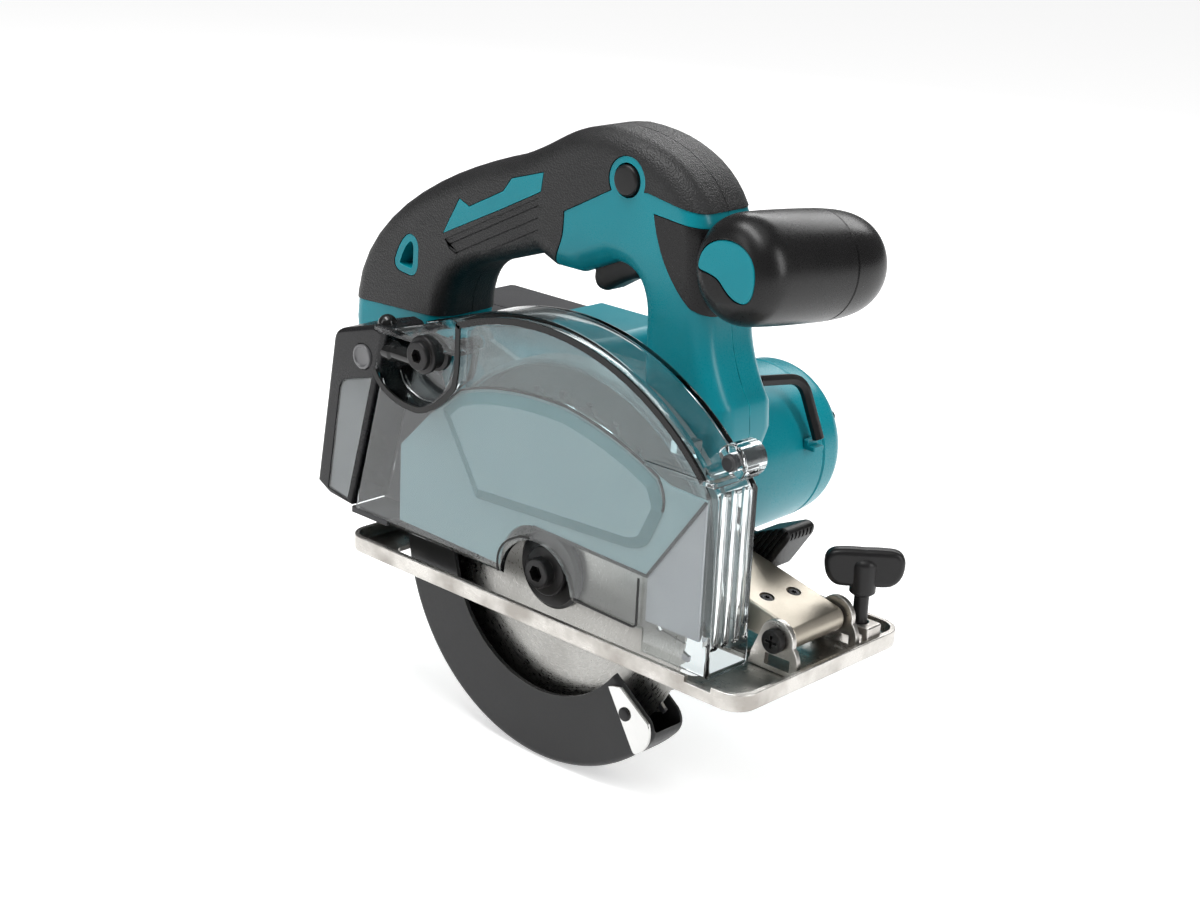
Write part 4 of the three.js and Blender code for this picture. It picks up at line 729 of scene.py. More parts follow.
def swept(name, path, section, up=(0, 0, 1)):
    """A section of (across, upward) points, carried along a path without twisting."""
    path = [Vector(p) for p in path]
    points, faces = [], []
    side = None
    for k, point in enumerate(path):
        ahead = (path[min(k + 1, len(path) - 1)] - path[max(k - 1, 0)]).normalized()
        side = ahead.cross(Vector(up)) if side is None else side - ahead * side.dot(ahead)
        side.normalize()
        top = side.cross(ahead)
        points += [point + side * u + top * v for u, v in section]
    n = len(section)
    for row in range(len(path) - 1):
        for k in range(n):
            a, b = row * n + k, row * n + (k + 1) % n
            faces.append((a, b, b + n, a + n))
    faces += [tuple(range(n))[::-1], tuple(range(len(points) - n, len(points)))]
    return solid(name, points, faces)


def curve_through(start, control, end, steps=10):
    """Points on a smooth bend in space."""
    a, b, c = Vector(start), Vector(control), Vector(end)
    return [a.lerp(b, k / steps).lerp(b.lerp(c, k / steps), k / steps) for k in range(steps + 1)]


KEY_RADIUS = 2.6
key_foot = Vector((40.2, 87.5, MOTOR_Z + 12.6))
key_bend = Vector((31, 85, MOTOR_Z + 38))
key_tip = Vector((26, 62, MOTOR_Z + 40))
key_curve = curve_through(key_foot.lerp(key_bend, 0.72), key_bend, key_bend.lerp(key_tip, 0.32))
key_path = [key_foot] + key_curve + [key_tip]
hexagon = arc(0, 0, KEY_RADIUS, 0, 360, 6)[:-1]
black_steel = finish("black_oxide_steel", (0.012, 0.012, 0.013), (0.02, 0.019, 0.019), (0.28, 0.45),
                     metal=0.6, grain=1400, depth=0.02, wear_and_highlight=(0.22, 0.21, 0.2), edge=0.3)
key = swept("hex_key_bar", key_path, hexagon)
dress(key, black_steel, 0.3, 34)
fit(key, "hex_key", "black_steel", "hex_key")

# ==== Battery, its latch and shroud =========================================================
# The slide-on battery is a dark grey nylon pack with grip ribs and a spring button at its
# rear. A teal shroud on the housing covers its front half.

grey_nylon = finish("grey_nylon", (0.034, 0.034, 0.036), (0.042, 0.042, 0.045), (0.45, 0.6), grain=2200,
                    depth=0.03, wear_and_highlight=(0.11, 0.11, 0.11))
battery_low, battery_high = cad("battery_case")
latch_low, latch_high = cad("battery_latch")


def rounded_box_edge(x0, x1, z0, z1, radius, steps=6):
    corners = ((x1 - radius, z0 + radius, -90), (x1 - radius, z1 - radius, 0),
               (x0 + radius, z1 - radius, 90), (x0 + radius, z0 + radius, 180))
    return [p for x, z, turn in corners for p in arc(x, z, radius, turn, turn + 90, steps)]


battery_edge = rounded_box_edge(battery_low.x, battery_high.x, battery_low.z, battery_high.z, 7)
battery = plate("battery_pack", [battery_edge], battery_low.y, battery_high.y, 4, 5)
carve(battery, brick("latch_seat", battery_low.x - 2, latch_high.x + 0.3, latch_low.y - 0.4,
                     latch_high.y + 3.4, latch_low.z - 0.4, latch_high.z + 0.4))
rib = brick("rib", battery_low.x - 1, battery_low.x + 0.7, battery_low.y + 28, battery_high.y - 5,
            battery_low.z + 9, battery_low.z + 10.6)
ribs = rowed("ribs", rib, 14, (0, 0, 4), grey_nylon)
joint_groove = plate("joint", [battery_edge, shrunk(battery_edge, 0.6)[::-1]], battery_low.y + 22,
                     battery_low.y + 22.7, inset=-0.01)
carve(battery, ribs, joint_groove)
dress(battery, grey_nylon, 0.3, 36)
fit(battery, "battery", "dark_plastic", "battery_case")
latch = brick("battery_button", latch_low.x, latch_high.x, latch_low.y, latch_high.y, latch_low.z,
              latch_high.z, 1.2)
lip = brick("lip", latch_low.x - 1, latch_low.x + 0.5, latch_low.y + 2.2, latch_low.y + 3.2,
            latch_low.z + 4, latch_high.z - 4)
carve(latch, rowed("lips", lip, 6, (0, 2.2, 0), grey_nylon))
dress(latch, button_plastic, 0.2, 36)
fit(latch, "battery_latch", "dark_plastic", "battery_latch")

shroud_low, shroud_high = cad("battery_shroud")
shroud_edge = rounded_box_edge(shroud_low.x - 12, shroud_high.x, shroud_low.z, shroud_high.z, 7)
shroud = plate("battery_hood", [shroud_edge], shroud_low.y - 12, shroud_high.y, 0, 7, steps=6)
HOOD_WALL = 2.4
hood_space = brick("hollow", shroud_low.x - 20, shroud_high.x - HOOD_WALL, shroud_low.y - 20,
                   shroud_high.y - HOOD_WALL, shroud_low.z + HOOD_WALL, shroud_high.z - HOOD_WALL)
hood_keep = brick("trim", shroud_low.x, shroud_high.x + 5, shroud_low.y, shroud_high.y + 10, 0, 130)
carve(shroud, hood_space)
carve(shroud, hood_keep, how="INTERSECT")
dress(shroud, teal_plastic, 0.4, 36)
fit(shroud, "housing", "teal_plastic", "battery_shroud")

# ==== Dust box ==============================================================================
# A thick, clear polycarbonate cover keeps the steel chips in. It has a fluted front column, a
# pin boss, a recess for its rear bolt and a black seal let into the rim of its face.

face_y = cad("dust_cover")[0].y
back_y = cad("dust_cover")[1].y
WALL = 2.5
FACE_ARC = (2, 6, 118)
BOX_REAR, BOX_FRONT, BOX_FOOT = -108, 96, 14
REAR_BOLT = (-62, 96)
FRONT_PIN = (91, 88)


def clear_plastic(name, tint, gloss=(0.02, 0.07)):
    """Polished clear plastic with faint flow marks, that lets the lamps' light through."""
    material = bpy.data.materials.new(name)
    material.use_nodes = True
    tree = material.node_tree
    shader = tree.nodes["Principled BSDF"]
    shader.inputs["Base Color"].default_value = (*tint, 1)
    shader.inputs["Transmission Weight"].default_value = 1.0
    shader.inputs["IOR"].default_value = 1.45
    place = add(tree, "ShaderNodeTexCoord").outputs["Object"]
    flow = add(tree, "ShaderNodeTexNoise", {"Vector": place, "Scale": 30.0, "Detail": 0.0}).outputs[0]
    rubbed = add(tree, "ShaderNodeTexNoise", {"Vector": place, "Scale": 260.0, "Detail": 5.0}).outputs[0]
    bump = add(tree, "ShaderNodeBump", {"Strength": 1.0, "Distance": 0.02 * MM, "Height": flow})
    tree.links.new(bump.outputs[0], shader.inputs["Normal"])
    tree.links.new(spread(tree, rubbed, 0.4, 0.75, *gloss), shader.inputs["Roughness"])
    through_it = add(tree, "ShaderNodeBsdfTransparent", {"Color": (*tint, 1)})
    lamp_ray = add(tree, "ShaderNodeLightPath").outputs["Is Shadow Ray"]
    mixed = add(tree, "ShaderNodeMixShader", {0: lamp_ray, 1: shader.outputs[0], 2: through_it.outputs[0]})
    tree.links.new(mixed.outputs[0], tree.nodes["Material Output"].inputs["Surface"])
    return material


clear = clear_plastic("smoked_polycarbonate", (0.80, 0.84, 0.845))
arc_x, arc_z, arc_radius = FACE_ARC
front_angle = math.degrees(math.acos((BOX_FRONT - arc_x) / arc_radius))
roof = arc(arc_x, arc_z, arc_radius, front_angle, 112, 44)
box_edge = [Vector((BOX_REAR, BOX_FOOT)), Vector((BOX_FRONT, BOX_FOOT))] + roof + [Vector((-86.25, 101))]
open_edge = [Vector((-130, BOX_FOOT)), Vector((BOX_FRONT, BOX_FOOT))] + roof + [Vector((-120, 101))]
notch = trace((-45, 99), ((-46, 90), (-50, 84)), ((-57, 75), (-66, 72)), ((-78, 69), (-88, 76)), (-92, 84),
              (-92, 99), steps=8)
notch = notch[::-1]
cover = plate("dust_box", [box_edge], face_y, back_y, 4, 3, steps=6)
shoulder = plate("shoulder", [trace((60, 81.4), (94.5, 81.4), (94.5, 83.4), (60, 83.4))], face_y - 0.9,
                 back_y, 0.6, 0)
cup = plate("cup", [shrunk(notch, -2.0)], face_y + 0.2, face_y + 13.5, 0.0, 1.0)
carve(cover, brick("foot", 62, BOX_FRONT, face_y, back_y, 6, 20, 2),
      disc("boss", 7, face_y + 12, back_y, *FRONT_PIN, 1.5), shoulder, cup, how="UNION")
hollow = plate("hollow", [open_edge], face_y + WALL, back_y - WALL, 2, 2, WALL, steps=4)
carve(hollow, plate("cup_keep", [shrunk(notch, -2.0)], face_y, face_y + 13.6))
carve(cover, hollow, plate("cup_hole", [notch], face_y - 3, face_y + 11.5, 0, 1.0),
      brick("foot_space", 42, BOX_FRONT - WALL, face_y + WALL, back_y + 1, 0, 22),
      brick("chip_mouth", -130, 60, face_y + WALL, 0, 0, 30),
      brick("sill_space", -130, -84.3, face_y - 1, 0, 0, 17.2),
      disc("guard_space", 83.6, -40, 0, 0, 17.5, sides=96),
      disc("bolt_notch", 20, face_y - 1, -38, 5, 14, sides=64),
      disc("rear_bolt_hole", 3.2, face_y - 1, 0, *REAR_BOLT, sides=24),
      disc("pin_hole", 3.6, face_y, 0, *FRONT_PIN, sides=24))
flute = plate("flute", [arc(97.2, 0, 2.6, 0, 360, 20)[:-1]], -80, -17, 1.2, 1.2)
moved(flute, (0, -42.5, 0), turned(-90, "X"))
carve(cover, rowed("flutes", flute, 4, (0, 6.2, 0), clear))
dress(cover, clear, 0.25, 38)
fit(cover, "housing", "smoked_clear", "dust_cover")

seal_black = finish("seal_rubber", (0.006, 0.006, 0.006), (0.01, 0.01, 0.01), (0.25, 0.4), grain=1500,
                    depth=0.02)


def seam(name, path, y, width, height):
    """A thin strip let into the clear face, along a side-view path."""
    strip = [(-width / 2, -height / 2), (width / 2, -height / 2), (width / 2, height / 2),
             (-width / 2, height / 2)]
    return swept(name, [(p[0], y, p[1]) for p in path], strip, up=(0, -1, 0))


rim_path = trace((-93.5, 82), ((-90, 75), (-80, 70.5), (-66, 71)), ((-54, 74), (-44.5, 86)),
                 ((-43, 93), (-43, 100)), (-43, 112.5), steps=10)
rim_path += arc(arc_x, arc_z, 115.4, 113, 41.5, 48)
pane_path = trace((60, 36), (60, 17.5), ((60, 15.5), (57, 15.5)), (27, 16.5), steps=4)
seals = joined(seam("seal_rim", rim_path, face_y + 0.1, 2.6, 1.0),
               seam("seal_pane", pane_path, face_y - 0.02, 0.9, 0.5),
               seam("seal_edge", trace((-16, 15.5), ((-18, 25), (-11, 30)), ((-5, 34.5), (1, 34.6)),
                                       steps=8), face_y - 0.02, 0.9, 0.5))
seals.name = "dust_box_seal"
dress(seals, seal_black, 0.0, 50)
fit(seals, "housing", "black_elastomer")

# ==== Liner =================================================================================
# Just inside the clear face is a moulded grey-teal liner with a raised six-sided field, left
# blank. A pale panel lies in front of it, a tinted window above and a dark chip guide behind.

liner_low, liner_high = cad("dust_liner")
liner_edge = trace((-80, 18), (-19, 16.5), ((-18.5, 26), (-12, 33)), ((-7, 38), (0, 38.5)), (18, 38),
                   (61, 36.5), (88, 74), (70, 75), (64, 77), ((42, 88), (15, 92)), ((-20, 93.5), (-44, 84)),
                   (-62, 70), (-80, 52), steps=10)
field_edge = trace((-54, 74), (-33, 41.5), (50, 45), ((58, 46), (61, 50)), (67, 63), ((68, 67), (63, 75.5)),
                   ((42, 86.5), (15, 90.5)), ((-20, 92), (-44, 82.5)), steps=10)
liner_plastic = finish("grey_teal_liner", (0.21, 0.31, 0.328), (0.25, 0.35, 0.366), (0.28, 0.42), cloud=14,
                       grain=900, depth=0.002)
liner = plate("dust_liner_panel", [liner_edge], liner_high.y - 1, liner_high.y, 0.3, 0)
FIELD_SLOPE = 4.5
slope_foot = shrunk(field_edge, -0.2)
slope_top = shrunk(field_edge, FIELD_SLOPE)
slope_y = liner_high.y - 1.3
field_points = [(p.x, liner_low.y, p.y) for p in slope_top] + [(p.x, slope_y, p.y) for p in slope_foot]
count = len(field_edge)
step_faces = [(k, k + count, (k + 1) % count + count, (k + 1) % count) for k in range(count)]
caps = [[p.to_3d() for p in slope_top], [p.to_3d() for p in slope_foot]]
front_faces = list(tessellate_polygon(caps[:1]))
foot_faces = [tuple(k + count for k in corner) for corner in tessellate_polygon(caps[1:])]
field = solid("dust_liner_field", field_points, step_faces + front_faces + foot_faces)
dress(liner, liner_plastic, 0.25, 24)
fit(liner, "housing", "liner_plastic", "dust_liner")
# The field's sloping edge gets a darker teal: painted shade, where the slope faces down and away from the
# lamps.
painted_step_shade = finish("liner_step_painted_shade", (0.085, 0.185, 0.2), (0.11, 0.21, 0.225), (0.25, 0.4), cloud=30,
                     grain=1500, depth=0.004)
dress(field, liner_plastic, 0.0, 14)
field.data.materials.append(painted_step_shade)
# Faces that don't look straight out of the liner take the darker colour as painted shade.
for face in field.data.polygons:
    face.material_index = 1 if 0.05 < abs(face.normal.x) + abs(face.normal.z) else 0
fit(field, "housing", "liner_plastic")

trim = joined(seam("trim_top", trace((67, 64), ((69, 70), (64, 77)), ((42, 88.3), (15, 92.4)),
                                     ((-20, 94), (-44, 84.5)), (-62, 70.5), steps=14),
                   liner_high.y - 1.2, 0.9, 0.6),
              seam("trim_low", trace((0, 38.3), (18, 37.8), (61, 36.3), (88, 73.5), steps=6),
                   liner_high.y - 1.2, 1.3, 0.6))
trim.name = "dust_liner_trim"
dress(trim, seal_black, 0.0, 50)
fit(trim, "housing", "black_plastic")

front_shade = finish("pale_grey_liner", (0.30, 0.295, 0.31), (0.36, 0.355, 0.37), (0.3, 0.42), cloud=22,
                     grain=900, depth=0.003)
front_liner = plate("dust_liner_front", [[(61.4, 18), (88, 18), (88, 73), (61.4, 36.2)]], liner_high.y - 1,
                    liner_high.y, 0.3, 0)
dress(front_liner, front_shade, 0.0, 34)
fit(front_liner, "housing", "liner_plastic")
tinted = clear_plastic("tinted_polycarbonate", (0.5, 0.645, 0.665))
window_edge = arc(arc_x, arc_z, 112.6, 112.5, 42.5, 40)
window_edge += trace((88, 74.6), (70, 75.8), (64, 78), ((42, 89), (15, 93)), ((-20, 94.5), (-41.5, 86)),
                     steps=10)
window = plate("dust_liner_window", [window_edge[::-1]], liner_high.y - 1, liner_high.y, 0.2, 0)
dress(window, tinted, 0.0, 40)
fit(window, "housing", "smoked_clear")
chip_guide = plate("chip_guide", [[(-107, 14.5), (-66, 14.5), (-66, 62), (-74, 80), (-91, 80)]],
                   back_y - 3.4, back_y - 2.6, 0.2, 0.2)
joined(chip_guide, brick("chip_sill", -107.8, -84.6, face_y + 0.3, back_y - 3.6, 14.2, 17, 0.5))
dress(chip_guide, grey_nylon, 0.0, 36)
fit(chip_guide, "housing", "dark_plastic")

# ==== Rear door of the dust box =============================================================
# A dark nylon door closes the rear of the dust box. It has a clear side pane, and a round
# push-button latch in a barrel at its top.

door_low, door_high = cad("dust_door")
LATCH = (-101, 86)
door_edge = trace((-108.8, 17), (-87.8, 98), (-90.4, 100.4), (-95, 101), (-114, 95.6),
                  ((-119.6, 94), (-120.4, 90)), (-131, 22.5), (-123, 18.5), steps=6)
pane_edge = trace((-123.4, 21.4), (-110.4, 18.8), (-94.8, 78.5), (-112, 73.6),
                  ((-115.4, 72.4), (-116.3, 68)), steps=6)
door = plate("dust_box_door", [door_edge], door_low.y, door_high.y, 2.2, 2, steps=5)
inner_edge = shrunk(door_edge, WALL)
door_space = plate("door_space", [inner_edge], door_low.y + WALL, door_high.y - WALL)
way_in = plate("way_in", [inner_edge], door_low.y + WALL + 0.05, door_high.y - WALL - 0.05)
moved(way_in, (6, 0, 0))
carve(door, door_space, way_in, plate("pane_seat", [pane_edge], door_low.y - 1, door_low.y + 1.6))
barrel = disc("barrel", 8.4, door_low.y + 0.01, door_high.y - 0.5, *LATCH, 0.8)
carve(barrel, plate("barrel_keep", [shrunk(door_edge, 0.05)], -60, 0), how="INTERSECT")
carve(door, barrel, how="UNION")
carve(door, disc("latch_bore", 5.8, door_low.y - 1, door_high.y + 1, *LATCH))
door_black = finish("door_nylon", (0.011, 0.011, 0.012), (0.015, 0.015, 0.016), (0.2, 0.34), grain=1800,
                    depth=0.012)
dress(door, door_black, 0.45, 36, 3)
fit(door, "dust_door", "dark_plastic", "dust_door")
label = plate("door_label_field", [shrunk(pane_edge, 0.9)], door_low.y + 1.3, door_low.y + 1.55)
label_grey = finish("label_film", (0.13, 0.128, 0.135), (0.17, 0.168, 0.175), (0.25, 0.4), cloud=40,
                    grain=700, depth=0.006)
dress(label, label_grey, 0.0, 40)
fit(label, "dust_door", "dark_plastic")
pane = plate("dust_box_door_pane", [shrunk(pane_edge, 0.2)], door_low.y + 0.15, door_low.y + 1.2, 0.5, 0)
dress(pane, clear, 0.0, 40)
fit(pane, "dust_door", "smoked_clear")
press_low, press_high = cad("door_latch")
press = lathe("door_latch_button", trace((0, 0.9), (3.6, 0.7), ((4.2, 0.4), (4.3, 0)), (4.9, 0),
                                         ((5.4, 0), (5.4, 0.6)), (5.4, press_high.y - press_low.y),
                                         (0, press_high.y - press_low.y), steps=5), 48)
moved(press, (LATCH[0], press_low.y, LATCH[1]))
lens_grey = finish("press_lens", (0.10, 0.10, 0.105), (0.14, 0.14, 0.145), (0.12, 0.25), grain=500,
                   depth=0.01, coat=0.4)
dress(press, lens_grey, 0.0, 36)
fit(press, "door_latch", "dark_plastic", "door_latch")

BALL = (-94, -38.5, 100.6)
ball = lathe("door_ball", [(4.1 * math.sin(t), -4.1 * math.cos(t))
                           for t in (math.pi * k / 20 for k in range(21))], 40)
moved(ball, BALL)
ball_black = finish("gloss_black", (0.008, 0.008, 0.008), (0.012, 0.012, 0.012), (0.06, 0.14), grain=300,
                    depth=0.004, coat=0.3)
dress(ball, ball_black, 0.0, 60)
fit(ball, "dust_door", "black_plastic")

bolt_low, bolt_high = cad("cover_bolt")
bolt_curve = trace((0, bolt_high.y), (2.8, bolt_high.y), (2.8, face_y + 8), (7.2, face_y + 8),
                   (8, face_y + 7.2), (8, face_y + 5.4), (6.6, face_y + 4.6), (6.6, face_y + 0.4),
                   (8, face_y - 0.3), (8, face_y - 1.8), ((8, face_y - 2.3), (7, face_y - 2.4)),
                   (6.1, face_y - 2.5), (6.1, bolt_low.y + 0.8), ((6.1, bolt_low.y), (5.3, bolt_low.y)),
                   (0, bolt_low.y), steps=4)
rear_bolt = lathe("dust_box_bolt", bolt_curve[::-1], 48)
hex_socket = arc(0, 0, 3.1, 0, 360, 6)[:-1]
carve(rear_bolt, plate("socket", [hex_socket], bolt_low.y - 1, bolt_low.y + 3))
moved(rear_bolt, (REAR_BOLT[0], 0, REAR_BOLT[1]))
dress(rear_bolt, black_steel, 0.15, 34)
fit(rear_bolt, "housing", "black_steel", "cover_bolt")
link_bar = lathe("latch_bar", trace((0, 0), (3.6, 0), (4.4, 0.8), (4.4, 5.6), (3.4, 6.4), (3.4, 18),
                                    (0, 18)), 32)
moved(link_bar, (-92, face_y + 5, 90.5), turned(-90, "Z"))
dress(link_bar, ball_black, 0.2, 34)
fit(link_bar, "housing", "black_plastic")
pin_low, pin_high = cad("cover_pin")
pin = lathe("dust_box_pin", trace((0, pin_low.y), (2.6, pin_low.y), (3.2, pin_low.y + 0.6),
                                  (3.2, pin_high.y), (0, pin_high.y)), 36)
moved(pin, (FRONT_PIN[0], 0, FRONT_PIN[1]))
dress(pin, grey_nylon, 0.0, 36)
fit(pin, "housing", "dark_plastic", "cover_pin")

# ==== Blade case, gear case and the works inside ============================================
# The die-cast blade case and gear case are painted grey-green. The gears, bearings and motor
# stay as they are in the frame, each with its own metal.

case_paint = finish("cast_case_paint", (0.16, 0.2, 0.205), (0.2, 0.24, 0.245), (0.35, 0.5), metal=0.3,
                    grain=900, depth=0.05, wear_and_highlight=(0.42, 0.44, 0.44))
ground_steel = finish("ground_steel", (0.55, 0.55, 0.54), (0.45, 0.45, 0.44), (0.22, 0.38), metal=1.0,
                      grain=700, depth=0.01, stretch=(1, 12, 1))
winding = finish("copper_winding", (0.5, 0.2, 0.08), (0.38, 0.14, 0.05), (0.3, 0.45), metal=0.9, grain=500,
                 depth=0.15, stretch=(1, 0.1, 1))
inside = {
    case_paint: ("gear_case", "gear_case_cover"),
    ground_steel: ("spindle", "spindle_gear", "spindle_bearing", "middle_pinion", "middle_wheel",
                   "middle_shaft", "rotor", "motor_pinion", "motor_bearing", "guard_spring"),
    winding: ("stator",),
    button_plastic: ("fan", "switch_unit", "controller", "terminal_block"),
    clear: ("lamp",),
}
case_low, case_high = cad("blade_case")
CASE_INNER, CASE_OUTER = 82.8, 85.3
case_disc = disc("blade_case_tray", CASE_OUTER, case_low.y, case_high.y, 0, 17.5, 1.2, 0.4, sides=128)
lug = plate("lug", [arc(*REAR_BOLT, 6.5, 20, 215, 16) + [Vector((-45, 70)), Vector((-30, 90))]],
            case_high.y - 2.5, case_high.y, 0.5, 0)
carve(case_disc, lug, how="UNION")
carve(case_disc, disc("tray", CASE_INNER, case_low.y - 5, case_high.y - 2.5, 0, 17.5, sides=128),
      disc("hub_space", 17, case_low.y - 5, case_high.y + 1, 0, 17.5),
      brick("below", -100, 100, -60, 10, -100, case_low.z),
      disc("bolt_hole", 3.2, -60, 0, *REAR_BOLT, sides=24))
dress(case_disc, case_paint, 0.3, 34)
fit(case_disc, "housing", "case_alloy", "blade_case")
for material, nodes in inside.items():
    for node in nodes:
        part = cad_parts[node]
        part.data.materials.clear()
        part.data.materials.append(material)

# ==== Blade, flanges and bolt ===============================================================
# A 150 mm carbide-tipped blade for metal, ground in rings, with four expansion slots. Two
# blackened flanges clamp it, under a flanged hex-socket bolt.

blade_low, blade_high = cad("blade")
SPINDLE = (0, 17.5)
TEETH = 32


def ground_disc(name, colour, shade, centre):
    """Steel ground in rings round a centre on the spindle's axis."""
    material = finish(name, colour, shade, (0.26, 0.42), metal=1.0, grain=900, depth=0.004)
    tree = material.node_tree
    shader = tree.nodes["Principled BSDF"]
    place = add(tree, "ShaderNodeTexCoord").outputs["Object"]
    shifted = add(tree, "ShaderNodeVectorMath", {0: place,
                                                 1: (-centre[0] * MM, 0, -centre[1] * MM)}).outputs[0]
    level = add(tree, "ShaderNodeVectorMath", {0: shifted, 1: (1, 0, 1)}, operation="MULTIPLY").outputs[0]
    radius = add(tree, "ShaderNodeVectorMath", {0: level}, operation="LENGTH").outputs["Value"]
    parts = add(tree, "ShaderNodeSeparateXYZ", {0: level})
    turn = add(tree, "ShaderNodeMath", {0: parts.outputs[2], 1: parts.outputs[0]},
               operation="ARCTAN2").outputs[0]
    drawn_out = add(tree, "ShaderNodeMath", {0: turn, 1: 0.004}, operation="MULTIPLY").outputs[0]
    wound = add(tree, "ShaderNodeCombineXYZ", {0: radius, 1: drawn_out})
    lines = add(tree, "ShaderNodeTexNoise", {"Vector": wound.outputs[0], "Scale": 2600.0,
                                             "Detail": 4.0}).outputs[0]
    old = shader.inputs["Roughness"].links[0].from_socket
    streaked = add(tree, "ShaderNodeMath", {0: old,
                                            1: spread(tree, lines, 0.35, 0.65, -0.09, 0.1)}).outputs[0]
    tree.links.new(streaked, shader.inputs["Roughness"])
    bump = add(tree, "ShaderNodeBump", {"Strength": 1.0, "Distance": 0.012 * MM,
                                        "Height": lines}).outputs[0]
    tree.links.new(bump, shader.inputs["Normal"])
    return material


blade_steel = ground_disc("ring_ground_steel", (0.34, 0.335, 0.32), (0.28, 0.275, 0.26), SPINDLE)
carbide = finish("carbide", (0.2, 0.2, 0.21), (0.15, 0.15, 0.16), (0.25, 0.35), metal=1.0, grain=3000,
                 depth=0.004)
disc_radius = 71.6
blade_body = disc("saw_blade", disc_radius, blade_low.y + 0.15, blade_high.y - 0.15, *SPINDLE, sides=160)
tooth_edge = trace((70.5, -5.6), ((72.6, -4.8), (74.2, -1.2)), (74.2, 0.4), ((71.5, 0.8), (70.4, 1.6)),
                   steps=5)
tooth = plate("tooth", [tooth_edge], blade_low.y + 0.15, blade_high.y - 0.15)
tip = plate("tip", [[(71.6, 0.35), (71.8, -1.9), (75, -1.75), (74.9, 0.45)]], blade_low.y, blade_high.y)
teeth = ringed("teeth", tooth, TEETH, 360 / TEETH, 0, SPINDLE, blade_steel)
tips = ringed("blade_tips", tip, TEETH, 360 / TEETH, 0, SPINDLE, carbide)
slot_cut = carve(plate("slot", [trace((58, -0.3), (76.5, -0.3), (76.5, 0.3), (58, 0.3))], -40, -10),
                 disc("slot_eye", 1.4, -40, -10, 58, 0, sides=16), how="UNION")
slots = ringed("slots", slot_cut, 4, 90, 7.448, SPINDLE, blade_steel)
carve(blade_body, teeth, how="UNION")
carve(blade_body, slots, disc("bore", 10, -40, -10, *SPINDLE))
dress(blade_body, blade_steel, 0.0, 30)
fit(blade_body, "spindle", "blade_steel", "blade")
dress(tips, carbide, 0.0, 30)
fit(tips, "spindle", "blade_steel")

inner_low, inner_high = cad("inner_flange")
outer_low, outer_high = cad("outer_flange")
blade_bolt_low, blade_bolt_high = cad("blade_bolt")
inner_curve = trace((6.3, inner_low.y), (9.7, inner_low.y), (9.7, blade_high.y + 0.3),
                    (16.4, blade_high.y + 0.3), (17, blade_high.y + 1), (17, inner_high.y - 0.6),
                    (16.4, inner_high.y), (6.3, inner_high.y))
outer_curve = trace((4, outer_low.y), (15.4, outer_low.y), (17, outer_low.y + 1.2), (17, outer_high.y),
                    (4, outer_high.y))
step_y = blade_bolt_low.y + 5
head_curve = trace((0, blade_bolt_high.y), (3.7, blade_bolt_high.y), (3.7, outer_low.y - 0.3),
                   (9.8, outer_low.y - 0.3), (10.5, outer_low.y - 1), (10.5, step_y + 0.6),
                   ((10.5, step_y), (9.6, step_y - 0.1)), (6.3, step_y - 0.5),
                   (6.3, blade_bolt_low.y + 0.8), ((6.3, blade_bolt_low.y), (5.4, blade_bolt_low.y)),
                   (0, blade_bolt_low.y), steps=4)


def lathed_ring(name, profile, sides=72):
    """A closed ring turned about the Y axis, from the corners of its section."""
    points = [(r * math.cos(t), y, r * math.sin(t)) for t in (math.tau * k / sides for k in range(sides))
              for r, y in profile]
    n, total = len(profile), len(profile) * sides
    faces = [(k * n + c, k * n + (c + 1) % n, (k * n + (c + 1) % n + n) % total, (k * n + c + n) % total)
             for k in range(sides) for c in range(n)]
    return solid(name, points, faces)


inner_flange = lathed_ring("flange_inner", inner_curve)
outer_flange = lathed_ring("flange_outer", outer_curve)
blade_bolt = lathe("blade_bolt_head", head_curve[::-1], 48)
carve(blade_bolt, plate("socket", [[corner * 1.15 for corner in hex_socket]], blade_bolt_low.y - 1,
                        blade_bolt_low.y + 4.5))
for piece, node in ((inner_flange, "inner_flange"), (outer_flange, "outer_flange"),
                    (blade_bolt, "blade_bolt")):
    moved(piece, (SPINDLE[0], 0, SPINDLE[1]))
    dress(piece, black_steel, 0.15, 34)
    fit(piece, "spindle", "black_steel", node)

# ==== Lower guard ===========================================================================
# A black painted steel crescent, deep-drawn round the blade and open at its nose. A bright
# wear plate is riveted to the nose.

guard_low, guard_high = cad("lower_guard")
GUARD_RADIUS = 82
GUARD_WALL = 1.8
START, END = -225, -35
RIVET = (50, -27)


def on_circle(centre, radius, angle):
    turn = math.radians(angle)
    return centre[0] + radius * math.cos(turn), centre[1] + radius * math.sin(turn)


nose_corner = trace(on_circle(SPINDLE, GUARD_RADIUS, END - 7),
                    (on_circle(SPINDLE, GUARD_RADIUS, END - 1.5), on_circle(SPINDLE, 75, END - 0.5)),
                    steps=6)
crescent = arc(*SPINDLE, GUARD_RADIUS, START, END - 8, 72) + nose_corner + arc(*SPINDLE, 20, END, START, 60)
guard = plate("guard_crescent", [crescent], guard_low.y, guard_high.y, 2.6, 1.2, steps=5)
carve(guard, disc("hub", 23, guard_high.y - GUARD_WALL, guard_high.y, *SPINDLE), how="UNION")
space_edge = arc(*SPINDLE, GUARD_RADIUS - GUARD_WALL, START - 8, END + 8, 72)
space_edge += arc(*SPINDLE, 5, END + 8, START - 8, 72)
guard_space = plate("guard_space", [space_edge], guard_low.y + GUARD_WALL, guard_high.y - GUARD_WALL,
                    1.4, 0.6, steps=4)
carve(guard, guard_space, disc("mouth", GUARD_RADIUS - 30, guard_low.y - 2, guard_low.y + 6, *SPINDLE,
                               sides=128),
      disc("hub_bore", 17.3, -60, 0, *SPINDLE), disc("rivet_hole", 1.9, -50, -34, *RIVET, sides=20))
